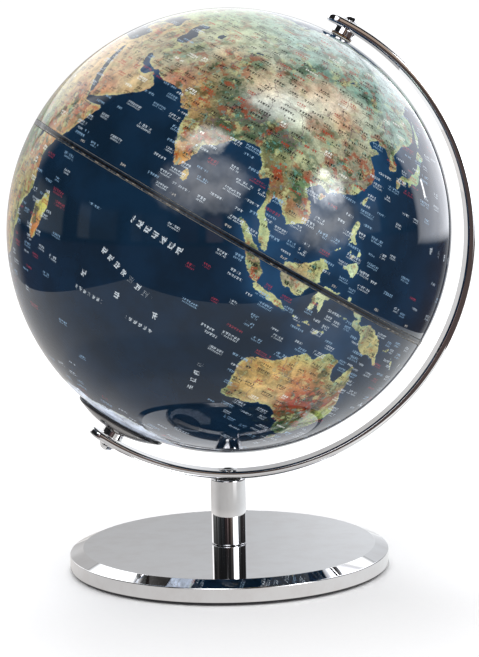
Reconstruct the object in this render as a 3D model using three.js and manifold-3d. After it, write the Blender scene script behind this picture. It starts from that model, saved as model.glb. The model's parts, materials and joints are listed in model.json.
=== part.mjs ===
// Desktop globe on a chromed stand. Millimetres, +Z up.
// The origin is the centre of the underside of the base pad, on the axis of the stem.
// The arm lies in the XZ plane, and the north pole leans towards +X.

import * as THREE from "three";
import { mergeVertices } from "three/addons/utils/BufferGeometryUtils.js";
import Module from "manifold-3d";

const manifold = await Module();
manifold.setup();

// ---- Driving dimensions ----

const TOUCH_GAP = 0.3;                 // left between two pieces that touch

const GLOBE_RADIUS = 125;
const GLOBE_CENTRE = new THREE.Vector3(3.5, 0, 191.9);
const AXIS_TILT = THREE.MathUtils.degToRad(31.2);
const SHELL_WALL = 2.5;
const BAND_HALF_WIDTH = 1.4;           // tape over the joint at the equator
const BAND_THICKNESS = 0.5;
const JOINT_RING_HALF_WIDTH = 7;
const JOINT_RING_WALL = 2.2;
const JOINT_RING_CLEARANCE = 1.0;

const ARM_CENTRE = new THREE.Vector3(6.4, 0, 188);
const ARM_INNER_RADIUS = 133.15;
const ARM_THICKNESS = 4.3;
const ARM_WIDTH = 12.5;
const ARM_OVERRUN = 12.3;              // from a pivot axis to the round tip of the arm

const PIN_RADIUS = 2.0;
const PIN_REACH = 116.5;               // inner end of a pivot pin, from the globe's centre
const PIVOT_HEAD_RADIUS = 4.6;
const PIVOT_HEAD_HEIGHT = 3.1;
const PIVOT_SOCKET_RADIUS = 1.5;
const PIVOT_SOCKET_DEPTH = 1.6;
const COLLAR_RADIUS = 6.4;
const WASHER_RADIUS = 6.2;
const WASHER_THICKNESS = 0.45;
const COLLAR_TO_ARM = 0.65;            // the collar's flat end against the curved arm

const BUSH_RADIUS = 4.7;
const BUSH_FLANGE_RADIUS = 6.0;
const BUSH_FLANGE_THICKNESS = 0.5;
const BUSH_INNER_END = 117.8;
const RETAINER_RADIUS = 9;
const RETAINER_THICKNESS = 1.6;

const CAP_RADIUS = 27;                 // dished cap over the south pole
const CAP_DOME_RADIUS = 58;
const CAP_HEIGHT = 5.6;                // above the globe's surface, on the axis
const CAP_WALL = 1.8;
const CAP_RECESS_RADIUS = 7.0;
const CAP_RECESS_DEPTH = 2.0;

const PAD_RADIUS = 90.4;
const PAD_THICKNESS = 1.0;
const BASE_RADIUS = 91.5;
const BASE_RIM_TOP = 9.2;
const BASE_TOP = 12.4;
const BASE_CHAMFER_WIDTH = 7.7;
const BASE_EDGE_BEVEL = 0.5;
const BASE_WALL = 1.2;
const WEIGHT_BOTTOM = 5.0;
const WEIGHT_RECESS_RADIUS = 9.5;
const WEIGHT_RECESS_TOP = 8.4;

const STEM_RADIUS = 10;
const STEM_WALL = 1.8;
const STEM_TOP_BEVEL = 1.0;
const PLUG_LENGTH = 9;

const BOLT_RADIUS = 3;
const BOLT_HOLE_RADIUS = 3.4;
const BOLT_HEAD_RADIUS = 5.6;
const BOLT_HEAD_RISE = 0.4;            // of the head above the arm's inner face
const BOLT_SOCKET_RADIUS = 2.3;
const BOLT_SOCKET_DEPTH = 1.8;
const BOLT_END = 1.5;
const TIE_WASHER_RADIUS = 7;
const TIE_WASHER_THICKNESS = 1.2;
const LOCK_WASHER_RADIUS = 5.6;
const LOCK_WASHER_THICKNESS = 1.4;
const NUT_RADIUS = 5.77;               // across the corners, for 10 mm across the flats
const NUT_THICKNESS = 3.2;

// Facets round a full turn
const GLOBE_FACETS = 40;
const BASE_FACETS = 56;
const STEM_FACETS = 32;
const SMALL_FACETS = 24;
const ARM_FACETS = 64;
const GLOBE_ARC_STEPS = 10;            // from the equator to a pole

// ---- Materials ----

function finish(colour, roughness, metalness) {
  return new THREE.MeshStandardMaterial({ color: colour, roughness, metalness });
}

const chrome = finish(0xd9dadb, 0.06, 1.0);
const zincSteel = finish(0xb4b5b2, 0.35, 1.0);
const castIron = finish(0x3d3c3a, 0.75, 0.8);
const bronze = finish(0x8a6a4c, 0.4, 0.9);
const printedGloss = finish(0x16283f, 0.12, 0.0);
const seamTape = finish(0x4a3b33, 0.3, 0.0);
const blackPlastic = finish(0x26272a, 0.4, 0.0);
const whitePlastic = finish(0xd8d6cf, 0.5, 0.0);
const greyBoard = finish(0xa39d92, 0.9, 0.0);
const feltBlack = finish(0x1c1c1d, 0.95, 0.0);

// ---- Shape helpers ----

// Turns [radius, height] points about Z. The points run anticlockwise, with the radius to the
// right and the height up. A profile that doesn't touch the axis is closed on itself.
function revolve(points, facets) {
  const profile = points.map(([radius, height]) => new THREE.Vector2(radius, height));
  const onAxis = profile[0].x === 0 && profile[profile.length - 1].x === 0;
  if (!onAxis) {
    profile.push(profile[0].clone());
  }
  return new THREE.LatheGeometry(profile, facets).rotateX(Math.PI / 2);
}

function ring(innerRadius, outerRadius, bottom, top, facets) {
  const corners = [[innerRadius, bottom], [outerRadius, bottom], [outerRadius, top], [innerRadius, top]];
  return revolve(corners, facets);
}

// Points [radius, height] on a circle about a centre on the axis, from one elevation to another.
function arcPoints(radius, centreHeight, fromAngle, toAngle, steps) {
  const points = [];
  for (let step = 0; step <= steps; step += 1) {
    const angle = THREE.MathUtils.lerp(fromAngle, toAngle, step / steps);
    points.push([radius * Math.cos(angle), centreHeight + radius * Math.sin(angle)]);
  }
  return points;
}

// A bar about Z from one height to another, for cutting holes.
function cutterBar(radius, bottom, top) {
  return revolve([[0, bottom], [radius, bottom], [radius, top], [0, top]], SMALL_FACETS);
}

function toSolid(geometry) {
  const bare = geometry.clone();
  bare.deleteAttribute("normal");
  bare.deleteAttribute("uv");
  const merged = mergeVertices(bare, 1e-4);
  const mesh = new manifold.Mesh({
    numProp: 3,
    vertProperties: new Float32Array(merged.attributes.position.array),
    triVerts: new Uint32Array(merged.index.array),
  });
  return new manifold.Manifold(mesh);
}

function toGeometry(solid) {
  const mesh = solid.getMesh();
  const geometry = new THREE.BufferGeometry();
  geometry.setAttribute("position", new THREE.BufferAttribute(mesh.vertProperties, 3));
  geometry.setIndex(new THREE.BufferAttribute(mesh.triVerts, 1));
  return geometry;
}

function cut(geometry, cutters) {
  let solid = toSolid(geometry);
  for (const cutter of cutters) {
    solid = solid.subtract(toSolid(cutter));
  }
  return toGeometry(solid);
}

// ---- Frames of the assembly ----

const part = new THREE.Group();

// Everything on the polar axis is built about the globe's centre, with +Z to the north pole.
const polarFrame = new THREE.Group();
polarFrame.position.copy(GLOBE_CENTRE);
polarFrame.rotation.y = AXIS_TILT;
polarFrame.updateMatrix();
part.add(polarFrame);

// The south pivot is built like the north one and turned over.
const southFrame = new THREE.Group();
southFrame.rotation.y = Math.PI;
southFrame.updateMatrix();
polarFrame.add(southFrame);

function addPiece(parent, name, geometry, material) {
  const mesh = new THREE.Mesh(geometry, material);
  mesh.name = name;
  parent.add(mesh);
}

// Distance from the globe's centre, along the polar axis, to a circle about the arm's centre.
function reachOfArm(direction, radius) {
  const offset = GLOBE_CENTRE.clone().sub(ARM_CENTRE);
  const along = offset.dot(direction);
  return Math.sqrt(along * along - offset.lengthSq() + radius * radius) - along;
}

const northDirection = new THREE.Vector3(Math.sin(AXIS_TILT), 0, Math.cos(AXIS_TILT));
const southDirection = northDirection.clone().negate();
const ARM_OUTER_RADIUS = ARM_INNER_RADIUS + ARM_THICKNESS;
const northArm = {
  inner: reachOfArm(northDirection, ARM_INNER_RADIUS),
  outer: reachOfArm(northDirection, ARM_OUTER_RADIUS),
};
const southArm = {
  inner: reachOfArm(southDirection, ARM_INNER_RADIUS),
  outer: reachOfArm(southDirection, ARM_OUTER_RADIUS),
};

// ---- Globe ----

const shellInnerRadius = GLOBE_RADIUS - SHELL_WALL;
const poleHoleRadius = BUSH_RADIUS + TOUCH_GAP;

// Half of the ball: a thin shell with a hole at its pole and a step at the equator for the tape.
function hemisphere() {
  const grooveRadius = GLOBE_RADIUS - BAND_THICKNESS - TOUCH_GAP;
  const grooveHalfWidth = BAND_HALF_WIDTH + TOUCH_GAP;
  const outerStart = Math.asin(grooveHalfWidth / GLOBE_RADIUS);
  const outerEnd = Math.acos(poleHoleRadius / GLOBE_RADIUS);
  const innerStart = Math.acos(poleHoleRadius / shellInnerRadius);
  const innerEnd = Math.asin(TOUCH_GAP / 2 / shellInnerRadius);
  return revolve([
    [grooveRadius, TOUCH_GAP / 2],
    [grooveRadius, grooveHalfWidth],
    ...arcPoints(GLOBE_RADIUS, 0, outerStart, outerEnd, GLOBE_ARC_STEPS),
    ...arcPoints(shellInnerRadius, 0, innerStart, innerEnd, GLOBE_ARC_STEPS),
  ], GLOBE_FACETS);
}

function equatorBand() {
  const inner = GLOBE_RADIUS - BAND_THICKNESS;
  return ring(inner, GLOBE_RADIUS, -BAND_HALF_WIDTH, BAND_HALF_WIDTH, GLOBE_FACETS);
}

// The ring that both halves are glued to inside.
function jointRing() {
  const outer = shellInnerRadius - JOINT_RING_CLEARANCE;
  return ring(outer - JOINT_RING_WALL, outer, -JOINT_RING_HALF_WIDTH, JOINT_RING_HALF_WIDTH, GLOBE_FACETS);
}

// A flanged bush. It turns with the globe on the fixed pin.
function poleBush(flangeBottom) {
  const bore = PIN_RADIUS + TOUCH_GAP;
  const flangeTop = flangeBottom + BUSH_FLANGE_THICKNESS;
  return revolve([
    [bore, BUSH_INNER_END],
    [BUSH_RADIUS, BUSH_INNER_END],
    [BUSH_RADIUS, flangeBottom],
    [BUSH_FLANGE_RADIUS, flangeBottom],
    [BUSH_FLANGE_RADIUS, flangeTop],
    [bore, flangeTop],
  ], SMALL_FACETS);
}

// The ring that holds a bush in its shell from the inside.
function bushRetainer() {
  const top = Math.sqrt(shellInnerRadius ** 2 - RETAINER_RADIUS ** 2) - TOUCH_GAP;
  return ring(poleHoleRadius, RETAINER_RADIUS, top - RETAINER_THICKNESS, top, SMALL_FACETS);
}

const capTop = GLOBE_RADIUS + CAP_HEIGHT;
const capRecessFloor = capTop - CAP_RECESS_DEPTH;

// The dished cap stands on its rim and has a recess round the pivot.
function southCap() {
  const domeCentre = capTop - CAP_DOME_RADIUS;
  const innerDomeRadius = CAP_DOME_RADIUS - CAP_WALL;
  const innerRimRadius = CAP_RADIUS - CAP_WALL;
  const rimBottom = Math.sqrt(GLOBE_RADIUS ** 2 - innerRimRadius ** 2) + TOUCH_GAP;
  const rimAngle = Math.acos(CAP_RADIUS / CAP_DOME_RADIUS);
  const recessAngle = Math.acos(CAP_RECESS_RADIUS / CAP_DOME_RADIUS);
  const hubAngle = Math.acos((CAP_RECESS_RADIUS + CAP_WALL) / innerDomeRadius);
  const innerRimAngle = Math.acos(innerRimRadius / innerDomeRadius);
  const hubBottom = capRecessFloor - CAP_WALL;
  return revolve([
    [CAP_RADIUS, rimBottom],
    ...arcPoints(CAP_DOME_RADIUS, domeCentre, rimAngle, recessAngle, 4),
    [CAP_RECESS_RADIUS, capRecessFloor],
    [poleHoleRadius, capRecessFloor],
    [poleHoleRadius, hubBottom],
    [CAP_RECESS_RADIUS + CAP_WALL, hubBottom],
    ...arcPoints(innerDomeRadius, domeCentre, hubAngle, innerRimAngle, 4),
    [innerRimRadius, rimBottom],
  ], STEM_FACETS);
}

const northFlangeBottom = GLOBE_RADIUS + TOUCH_GAP;
const southFlangeBottom = capRecessFloor + TOUCH_GAP;

addPiece(polarFrame, "north_hemisphere", hemisphere(), printedGloss);
addPiece(southFrame, "south_hemisphere", hemisphere(), printedGloss);
addPiece(polarFrame, "equator_band", equatorBand(), seamTape);
addPiece(polarFrame, "joint_ring", jointRing(), greyBoard);
addPiece(polarFrame, "north_bush", poleBush(northFlangeBottom), whitePlastic);
addPiece(southFrame, "south_bush", poleBush(southFlangeBottom), whitePlastic);
addPiece(polarFrame, "north_bush_retainer", bushRetainer(), zincSteel);
addPiece(southFrame, "south_bush_retainer", bushRetainer(), zincSteel);
addPiece(southFrame, "south_cap", southCap(), blackPlastic);

// ---- Pivots, fixed to the arm ----

// A dome-headed screw whose plain end is the pin that the globe turns on.
function pivotScrew(armOuter) {
  const seat = armOuter + COLLAR_TO_ARM;
  const domeRadius = (PIVOT_HEAD_RADIUS ** 2 + PIVOT_HEAD_HEIGHT ** 2) / (2 * PIVOT_HEAD_HEIGHT);
  const domeCentre = seat + PIVOT_HEAD_HEIGHT - domeRadius;
  const rimAngle = Math.acos(PIVOT_HEAD_RADIUS / domeRadius);
  const socketAngle = Math.acos(PIVOT_SOCKET_RADIUS / domeRadius);
  const socketFloor = seat + PIVOT_HEAD_HEIGHT - PIVOT_SOCKET_DEPTH;
  return revolve([
    [0, PIN_REACH],
    [PIN_RADIUS, PIN_REACH],
    [PIN_RADIUS, seat],
    ...arcPoints(domeRadius, domeCentre, rimAngle, socketAngle, 4),
    [PIVOT_SOCKET_RADIUS, socketFloor],
    [0, socketFloor],
  ], SMALL_FACETS);
}

// The thin washer between a turning bush and its fixed collar, then the collar up to the arm.
function addPivot(frame, side, flangeBottom, arm) {
  const washerBottom = flangeBottom + BUSH_FLANGE_THICKNESS + TOUCH_GAP;
  const washerTop = washerBottom + WASHER_THICKNESS;
  const bore = PIN_RADIUS + TOUCH_GAP;
  const washer = ring(bore, WASHER_RADIUS, washerBottom, washerTop, SMALL_FACETS);
  const collar = ring(bore, COLLAR_RADIUS, washerTop + TOUCH_GAP, arm.inner - COLLAR_TO_ARM, SMALL_FACETS);
  addPiece(frame, `${side}_washer`, washer, bronze);
  addPiece(frame, `${side}_collar`, collar, chrome);
  addPiece(frame, `${side}_pivot_screw`, pivotScrew(arm.outer), chrome);
}

addPivot(polarFrame, "north", northFlangeBottom, northArm);
addPivot(southFrame, "south", southFlangeBottom, southArm);

// ---- Arm ----

const ARM_MIDDLE_RADIUS = ARM_INNER_RADIUS + ARM_THICKNESS / 2;

// Angle about the arm's centre, from +X towards +Z, of the point where the polar axis meets it.
function armAngle(direction) {
  const reach = reachOfArm(direction, ARM_MIDDLE_RADIUS);
  const point = GLOBE_CENTRE.clone().addScaledVector(direction, reach).sub(ARM_CENTRE);
  return Math.atan2(point.z, point.x);
}

const overrunAngle = ARM_OVERRUN / ARM_MIDDLE_RADIUS;
const northTipAngle = armAngle(northDirection) + overrunAngle;
const southTipAngle = armAngle(southDirection) - overrunAngle;

// Cuts the square end of the arm to a half round. `outwards` is +1 where the angle grows to the tip.
function tipCutter(tipAngle, outwards) {
  const blockLength = ARM_WIDTH;
  const block = new THREE.BoxGeometry(ARM_WIDTH, 2 * ARM_WIDTH, blockLength);
  block.translate(0, 0, (outwards * blockLength) / 2);
  const round = cutterBar(ARM_WIDTH / 2, -ARM_WIDTH, ARM_WIDTH).rotateY(Math.PI / 2);
  const cutter = cut(block, [round]);
  const centreAngle = tipAngle - (outwards * ARM_WIDTH) / 2 / ARM_MIDDLE_RADIUS;
  cutter.translate(ARM_MIDDLE_RADIUS, 0, 0);
  cutter.rotateY(-centreAngle);
  cutter.translate(ARM_CENTRE.x, 0, ARM_CENTRE.z);
  return cutter;
}

const armFootInner = ARM_CENTRE.z - Math.sqrt(ARM_INNER_RADIUS ** 2 - ARM_CENTRE.x ** 2);
const armFootOuter = ARM_CENTRE.z - Math.sqrt(ARM_OUTER_RADIUS ** 2 - ARM_CENTRE.x ** 2);
const boltHeadTop = armFootInner + BOLT_HEAD_RISE;
const boltHeadBottom = boltHeadTop - (BOLT_HEAD_RADIUS - BOLT_RADIUS);

// The countersunk hole over the stem: a plain hole, then a 90 degree cone.
function countersinkCutter() {
  const coneTopRadius = BOLT_HEAD_RADIUS + TOUCH_GAP;
  const above = boltHeadTop + 4;
  const coneBottom = boltHeadTop - (coneTopRadius - BOLT_HOLE_RADIUS);
  return revolve([
    [0, armFootOuter - 4],
    [BOLT_HOLE_RADIUS, armFootOuter - 4],
    [BOLT_HOLE_RADIUS, coneBottom],
    [coneTopRadius, boltHeadTop],
    [coneTopRadius, above],
    [0, above],
  ], SMALL_FACETS);
}

function meridianArm() {
  const outline = new THREE.Shape();
  outline.absarc(0, 0, ARM_OUTER_RADIUS, southTipAngle, northTipAngle, false);
  outline.absarc(0, 0, ARM_INNER_RADIUS, northTipAngle, southTipAngle, true);
  outline.closePath();
  const bar = new THREE.ExtrudeGeometry(outline, {
    depth: ARM_WIDTH,
    bevelEnabled: false,
    curveSegments: ARM_FACETS,
  });
  bar.translate(0, 0, -ARM_WIDTH / 2);
  bar.rotateX(Math.PI / 2);
  bar.translate(ARM_CENTRE.x, 0, ARM_CENTRE.z);
  const holeRadius = PIN_RADIUS + TOUCH_GAP;
  const northHole = cutterBar(holeRadius, northArm.inner - 5, northArm.outer + 5);
  const southHole = cutterBar(holeRadius, southArm.inner - 5, southArm.outer + 5);
  northHole.applyMatrix4(polarFrame.matrix);
  southHole.applyMatrix4(southFrame.matrix).applyMatrix4(polarFrame.matrix);
  return cut(bar, [
    tipCutter(northTipAngle, 1),
    tipCutter(southTipAngle, -1),
    northHole,
    southHole,
    countersinkCutter(),
  ]);
}

addPiece(part, "meridian_arm", meridianArm(), chrome);

// ---- Base ----

function baseCover() {
  const bottom = PAD_THICKNESS + TOUCH_GAP;
  const topRadius = BASE_RADIUS - BASE_CHAMFER_WIDTH;
  const innerTop = BASE_TOP - BASE_WALL;
  const innerRimTop = BASE_RIM_TOP - BASE_WALL / 2;
  return revolve([
    [BASE_RADIUS - BASE_WALL, bottom],
    [BASE_RADIUS, bottom],
    [BASE_RADIUS, BASE_RIM_TOP - BASE_EDGE_BEVEL],
    [BASE_RADIUS - BASE_EDGE_BEVEL, BASE_RIM_TOP],
    [topRadius, BASE_TOP],
    [BOLT_HOLE_RADIUS, BASE_TOP],
    [BOLT_HOLE_RADIUS, innerTop],
    [topRadius - BASE_WALL / 2, innerTop],
    [BASE_RADIUS - BASE_WALL, innerRimTop],
  ], BASE_FACETS);
}

function baseWeight() {
  const radius = BASE_RADIUS - BASE_WALL - 1;
  const top = BASE_TOP - BASE_WALL - TOUCH_GAP;
  const topRadius = BASE_RADIUS - BASE_CHAMFER_WIDTH - BASE_WALL;
  return revolve([
    [WEIGHT_RECESS_RADIUS, WEIGHT_BOTTOM],
    [radius, WEIGHT_BOTTOM],
    [radius, BASE_RIM_TOP - BASE_WALL - TOUCH_GAP],
    [topRadius, top],
    [BOLT_HOLE_RADIUS, top],
    [BOLT_HOLE_RADIUS, WEIGHT_RECESS_TOP],
    [WEIGHT_RECESS_RADIUS, WEIGHT_RECESS_TOP],
  ], BASE_FACETS);
}

addPiece(part, "base_cover", baseCover(), chrome);
addPiece(part, "base_weight", baseWeight(), castIron);
addPiece(part, "base_pad", revolve([
  [0, 0],
  [PAD_RADIUS, 0],
  [PAD_RADIUS, PAD_THICKNESS],
  [0, PAD_THICKNESS],
], BASE_FACETS), feltBlack);

// ---- Stem ----

const stemBottom = BASE_TOP + TOUCH_GAP;
const stemInnerRadius = STEM_RADIUS - STEM_WALL;

// The round underside of the arm, with a gap, cut out of whatever stands under it.
function saddleCutter() {
  const facets = 5 * ARM_FACETS;
  const barrel = new THREE.CylinderGeometry(
    ARM_OUTER_RADIUS + TOUCH_GAP,
    ARM_OUTER_RADIUS + TOUCH_GAP,
    4 * STEM_RADIUS,
    facets,
  );
  return barrel.translate(ARM_CENTRE.x, 0, ARM_CENTRE.z);
}

function stemTube() {
  const top = armFootOuter + 1;
  const bevelStart = armFootOuter - STEM_TOP_BEVEL;
  const tube = revolve([
    [stemInnerRadius, stemBottom],
    [STEM_RADIUS, stemBottom],
    [STEM_RADIUS, bevelStart],
    [STEM_RADIUS - STEM_TOP_BEVEL, armFootOuter],
    [STEM_RADIUS - STEM_TOP_BEVEL, top],
    [stemInnerRadius, top],
  ], STEM_FACETS);
  return cut(tube, [saddleCutter()]);
}

function stemPlug(bottom, top) {
  return ring(BOLT_HOLE_RADIUS, stemInnerRadius - TOUCH_GAP, bottom, top, STEM_FACETS);
}

addPiece(part, "stem_tube", stemTube(), chrome);
addPiece(part, "stem_foot_plug", stemPlug(stemBottom, stemBottom + PLUG_LENGTH), zincSteel);
addPiece(part, "stem_top_plug", cut(
  stemPlug(armFootOuter - PLUG_LENGTH, armFootOuter + 1),
  [saddleCutter()],
), zincSteel);

// ---- Tie bolt through the arm, the stem and the base ----

function tieBolt() {
  return revolve([
    [0, BOLT_END],
    [BOLT_RADIUS, BOLT_END],
    [BOLT_RADIUS, boltHeadBottom],
    [BOLT_HEAD_RADIUS, boltHeadTop],
    [BOLT_SOCKET_RADIUS, boltHeadTop + BOLT_HEAD_RISE],
    [BOLT_SOCKET_RADIUS, boltHeadTop - BOLT_SOCKET_DEPTH],
    [0, boltHeadTop - BOLT_SOCKET_DEPTH],
  ], SMALL_FACETS);
}

function hexNut(bottom, top) {
  const outline = new THREE.Shape();
  for (let corner = 0; corner < 6; corner += 1) {
    const angle = (corner * Math.PI) / 3;
    const x = NUT_RADIUS * Math.cos(angle);
    const y = NUT_RADIUS * Math.sin(angle);
    if (corner === 0) {
      outline.moveTo(x, y);
    } else {
      outline.lineTo(x, y);
    }
  }
  outline.closePath();
  const hole = new THREE.Path().absarc(0, 0, BOLT_RADIUS + TOUCH_GAP, 0, 2 * Math.PI, true);
  outline.holes.push(hole);
  const nut = new THREE.ExtrudeGeometry(outline, {
    depth: top - bottom,
    bevelEnabled: false,
    curveSegments: SMALL_FACETS,
  });
  return nut.translate(0, 0, bottom);
}

const tieWasherTop = WEIGHT_RECESS_TOP - TOUCH_GAP;
const lockWasherTop = tieWasherTop - TIE_WASHER_THICKNESS - TOUCH_GAP;
const nutTop = lockWasherTop - LOCK_WASHER_THICKNESS - TOUCH_GAP;
const boltBore = BOLT_RADIUS + TOUCH_GAP;

addPiece(part, "tie_bolt", tieBolt(), zincSteel);
addPiece(part, "tie_washer", ring(
  boltBore,
  TIE_WASHER_RADIUS,
  tieWasherTop - TIE_WASHER_THICKNESS,
  tieWasherTop,
  SMALL_FACETS,
), zincSteel);
addPiece(part, "tie_lock_washer", ring(
  boltBore,
  LOCK_WASHER_RADIUS,
  lockWasherTop - LOCK_WASHER_THICKNESS,
  lockWasherTop,
  SMALL_FACETS,
), zincSteel);
addPiece(part, "tie_nut", hexNut(nutTop - NUT_THICKNESS, nutTop), zincSteel);

export default part;
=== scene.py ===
"""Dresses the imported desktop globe: smooth chromed metal, a glossy printed ball, a studio and a camera.

Lengths in this file are millimetres and become metres in place() and build_mesh(). Pieces on the
polar axis are built about the globe's centre with Z to the north pole, and then set on that axis.
"""

import json
import math
import random

import bpy
import numpy as np
from mathutils import Matrix, Vector


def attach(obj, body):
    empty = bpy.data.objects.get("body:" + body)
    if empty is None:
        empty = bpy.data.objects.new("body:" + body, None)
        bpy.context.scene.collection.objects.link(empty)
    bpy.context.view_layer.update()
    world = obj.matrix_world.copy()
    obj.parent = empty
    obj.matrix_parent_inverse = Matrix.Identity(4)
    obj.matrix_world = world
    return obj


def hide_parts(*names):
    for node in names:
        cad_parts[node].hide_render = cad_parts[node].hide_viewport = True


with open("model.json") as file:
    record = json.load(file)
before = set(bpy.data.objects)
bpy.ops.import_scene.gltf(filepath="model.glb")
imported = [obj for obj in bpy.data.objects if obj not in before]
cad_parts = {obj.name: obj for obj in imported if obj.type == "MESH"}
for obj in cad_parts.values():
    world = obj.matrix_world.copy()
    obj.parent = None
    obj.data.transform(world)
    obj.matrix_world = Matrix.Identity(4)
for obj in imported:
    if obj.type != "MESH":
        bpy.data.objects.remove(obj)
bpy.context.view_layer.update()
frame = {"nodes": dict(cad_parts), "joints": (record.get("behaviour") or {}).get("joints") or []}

MM = 0.001
DEGREES = 180 / math.pi

# ---- Sizes of the CAD model, in millimetres ----

GLOBE_RADIUS = 125.0
SHELL_WALL = 2.5
BAND_HALF_WIDTH = 1.4
BAND_THICKNESS = 0.5
TOUCH_GAP = 0.3
POLE_HOLE_RADIUS = 5.0

ARM_CENTRE_X = 6.4
ARM_CENTRE_Z = 188.0
ARM_INNER_RADIUS = 133.15
ARM_THICKNESS = 4.3
ARM_WIDTH = 12.5
ARM_OVERRUN = 12.3
ARM_EDGE_FILLET = 1.3

PIN_RADIUS = 2.0
PIN_BORE = 2.3
PIN_REACH = 116.5
PIVOT_HEAD_RADIUS = 4.6
PIVOT_HEAD_HEIGHT = 3.1
PIVOT_SOCKET_RADIUS = 1.7
PIVOT_SOCKET_DEPTH = 1.6
COLLAR_RADIUS = 6.4
COLLAR_TO_ARM = 0.65
WASHER_RADIUS = 6.2
WASHER_THICKNESS = 0.45
BUSH_RADIUS = 4.7
BUSH_FLANGE_RADIUS = 6.0
BUSH_FLANGE_THICKNESS = 0.5
BUSH_INNER_END = 117.8

CAP_RADIUS = 27.0
CAP_DOME_RADIUS = 58.0
CAP_HEIGHT = 5.6
CAP_WALL = 1.8
CAP_RECESS_RADIUS = 7.0
CAP_RECESS_DEPTH = 2.0

BASE_RADIUS = 91.5
BASE_BOTTOM = 1.3
BASE_RIM_TOP = 9.2
BASE_TOP = 12.4
BASE_CHAMFER_WIDTH = 7.7
BASE_WALL = 1.2
PAD_RADIUS = 90.4
PAD_THICKNESS = 1.0

STEM_RADIUS = 10.0
STEM_WALL = 1.8
STEM_TO_ARM = 0.05
PLUG_LENGTH = 9.0
PLUG_SIDE_GAP = 0.08
PLUG_TOP_GAP = 0.2
BOLT_RADIUS = 3.0
BOLT_HOLE_RADIUS = 3.4
BOLT_HEAD_RADIUS = 5.6
BOLT_HEAD_RISE = 0.4
BOLT_SOCKET_RADIUS = 2.6
BOLT_SOCKET_DEPTH = 1.8
BOLT_END = 1.5

# How far a cutter runs past the surface it opens.
SOCKET_OVERRUN = 4
PIN_HOLE_OVERRUN = 5

# How finely round things are divided, and the angle above which an edge is drawn sharp.
HEXAGON = 6
SMALL_COLUMNS = 96
CAP_COLUMNS = 160
BASE_COLUMNS = 256
MAP_COLUMNS = 576
MAP_ROWS = 144
SHARP_DEGREES = 38
PRINTED_SHARP_DEGREES = 50

# ---- Frames of the assembly ----

spin = frame["joints"][0]
globe_centre = Vector(spin["pos_m"])
north = Vector(spin["axis"]).normalized()
east = Vector((north.z, 0, -north.x))
polar = Matrix((
    (east.x, 0, north.x, globe_centre.x),
    (east.y, 1, north.y, globe_centre.y),
    (east.z, 0, north.z, globe_centre.z),
    (0, 0, 0, 1),
))
southward = polar @ Matrix.Rotation(math.pi, 4, "Y")
upright = Matrix.Identity(4)

arm_centre = Vector((ARM_CENTRE_X, 0, ARM_CENTRE_Z)) * MM
ARM_OUTER_RADIUS = ARM_INNER_RADIUS + ARM_THICKNESS
ARM_MIDDLE_RADIUS = ARM_INNER_RADIUS + ARM_THICKNESS / 2


def height_over_foot(radius):
    """Height at which the lower side of a circle about the arm's centre crosses the stem's axis."""
    return ARM_CENTRE_Z - math.sqrt(radius ** 2 - ARM_CENTRE_X ** 2)


ARM_FOOT_INNER = height_over_foot(ARM_INNER_RADIUS)
ARM_FOOT_OUTER = height_over_foot(ARM_OUTER_RADIUS)


def reach_of_arm(direction, radius):
    """Distance from the globe's centre, along direction, to a circle about the arm's centre."""
    offset = (globe_centre - arm_centre) / MM
    along = offset.dot(direction)
    return math.sqrt(along ** 2 - offset.length_squared + radius ** 2) - along


def reach_of_faces(direction):
    """Distances from the globe's centre to the inner and the outer face of the arm."""
    return reach_of_arm(direction, ARM_INNER_RADIUS), reach_of_arm(direction, ARM_OUTER_RADIUS)


def arm_angle(direction):
    """Angle about the arm's centre, from +X towards +Z, where the polar axis meets the arm."""
    reach = reach_of_arm(direction, ARM_MIDDLE_RADIUS)
    point = globe_centre / MM + direction * reach - arm_centre / MM
    return math.atan2(point.z, point.x)


# ---- Mesh helpers ----


def build_mesh(name, points, faces, matrix, sharp_degrees=SHARP_DEGREES):
    """A smooth-shaded mesh object. Points are in millimetres in the frame of matrix."""
    mesh = bpy.data.meshes.new(name)
    mesh.from_pydata((np.asarray(points) * MM).tolist(), [], faces)
    mesh.update()
    mesh.polygons.foreach_set("use_smooth", np.ones(len(mesh.polygons), bool))
    mesh.set_sharp_from_angle(angle=math.radians(sharp_degrees))
    piece = bpy.data.objects.new(name, mesh)
    bpy.context.scene.collection.objects.link(piece)
    piece.matrix_world = matrix
    return piece


def revolve(name, profile, columns, matrix, sharp_degrees=SHARP_DEGREES):
    """Turns (radius, height) points about Z. The points run anticlockwise, with height upwards.
    A profile that starts and ends on the axis is left open, and any other is closed on itself."""
    on_axis = profile[0][0] == 0 and profile[-1][0] == 0
    turns = np.arange(columns) * (2 * math.pi / columns)
    points = []
    starts = []
    for radius, height in profile:
        starts.append(len(points))
        if radius == 0:
            points.append((0.0, 0.0, height))
        else:
            heights = np.full(columns, height)
            points.extend(zip(radius * np.cos(turns), radius * np.sin(turns), heights))
    faces = []
    last = len(profile) - 1 if on_axis else len(profile)
    for row in range(last):
        after = (row + 1) % len(profile)
        low, high = starts[row], starts[after]
        for column in range(columns):
            beside = (column + 1) % columns
            if profile[row][0] == 0:
                faces.append((low, high + beside, high + column))
            elif profile[after][0] == 0:
                faces.append((low + column, low + beside, high))
            else:
                faces.append((low + column, low + beside, high + beside, high + column))
    return build_mesh(name, points, faces, matrix, sharp_degrees)


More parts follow.
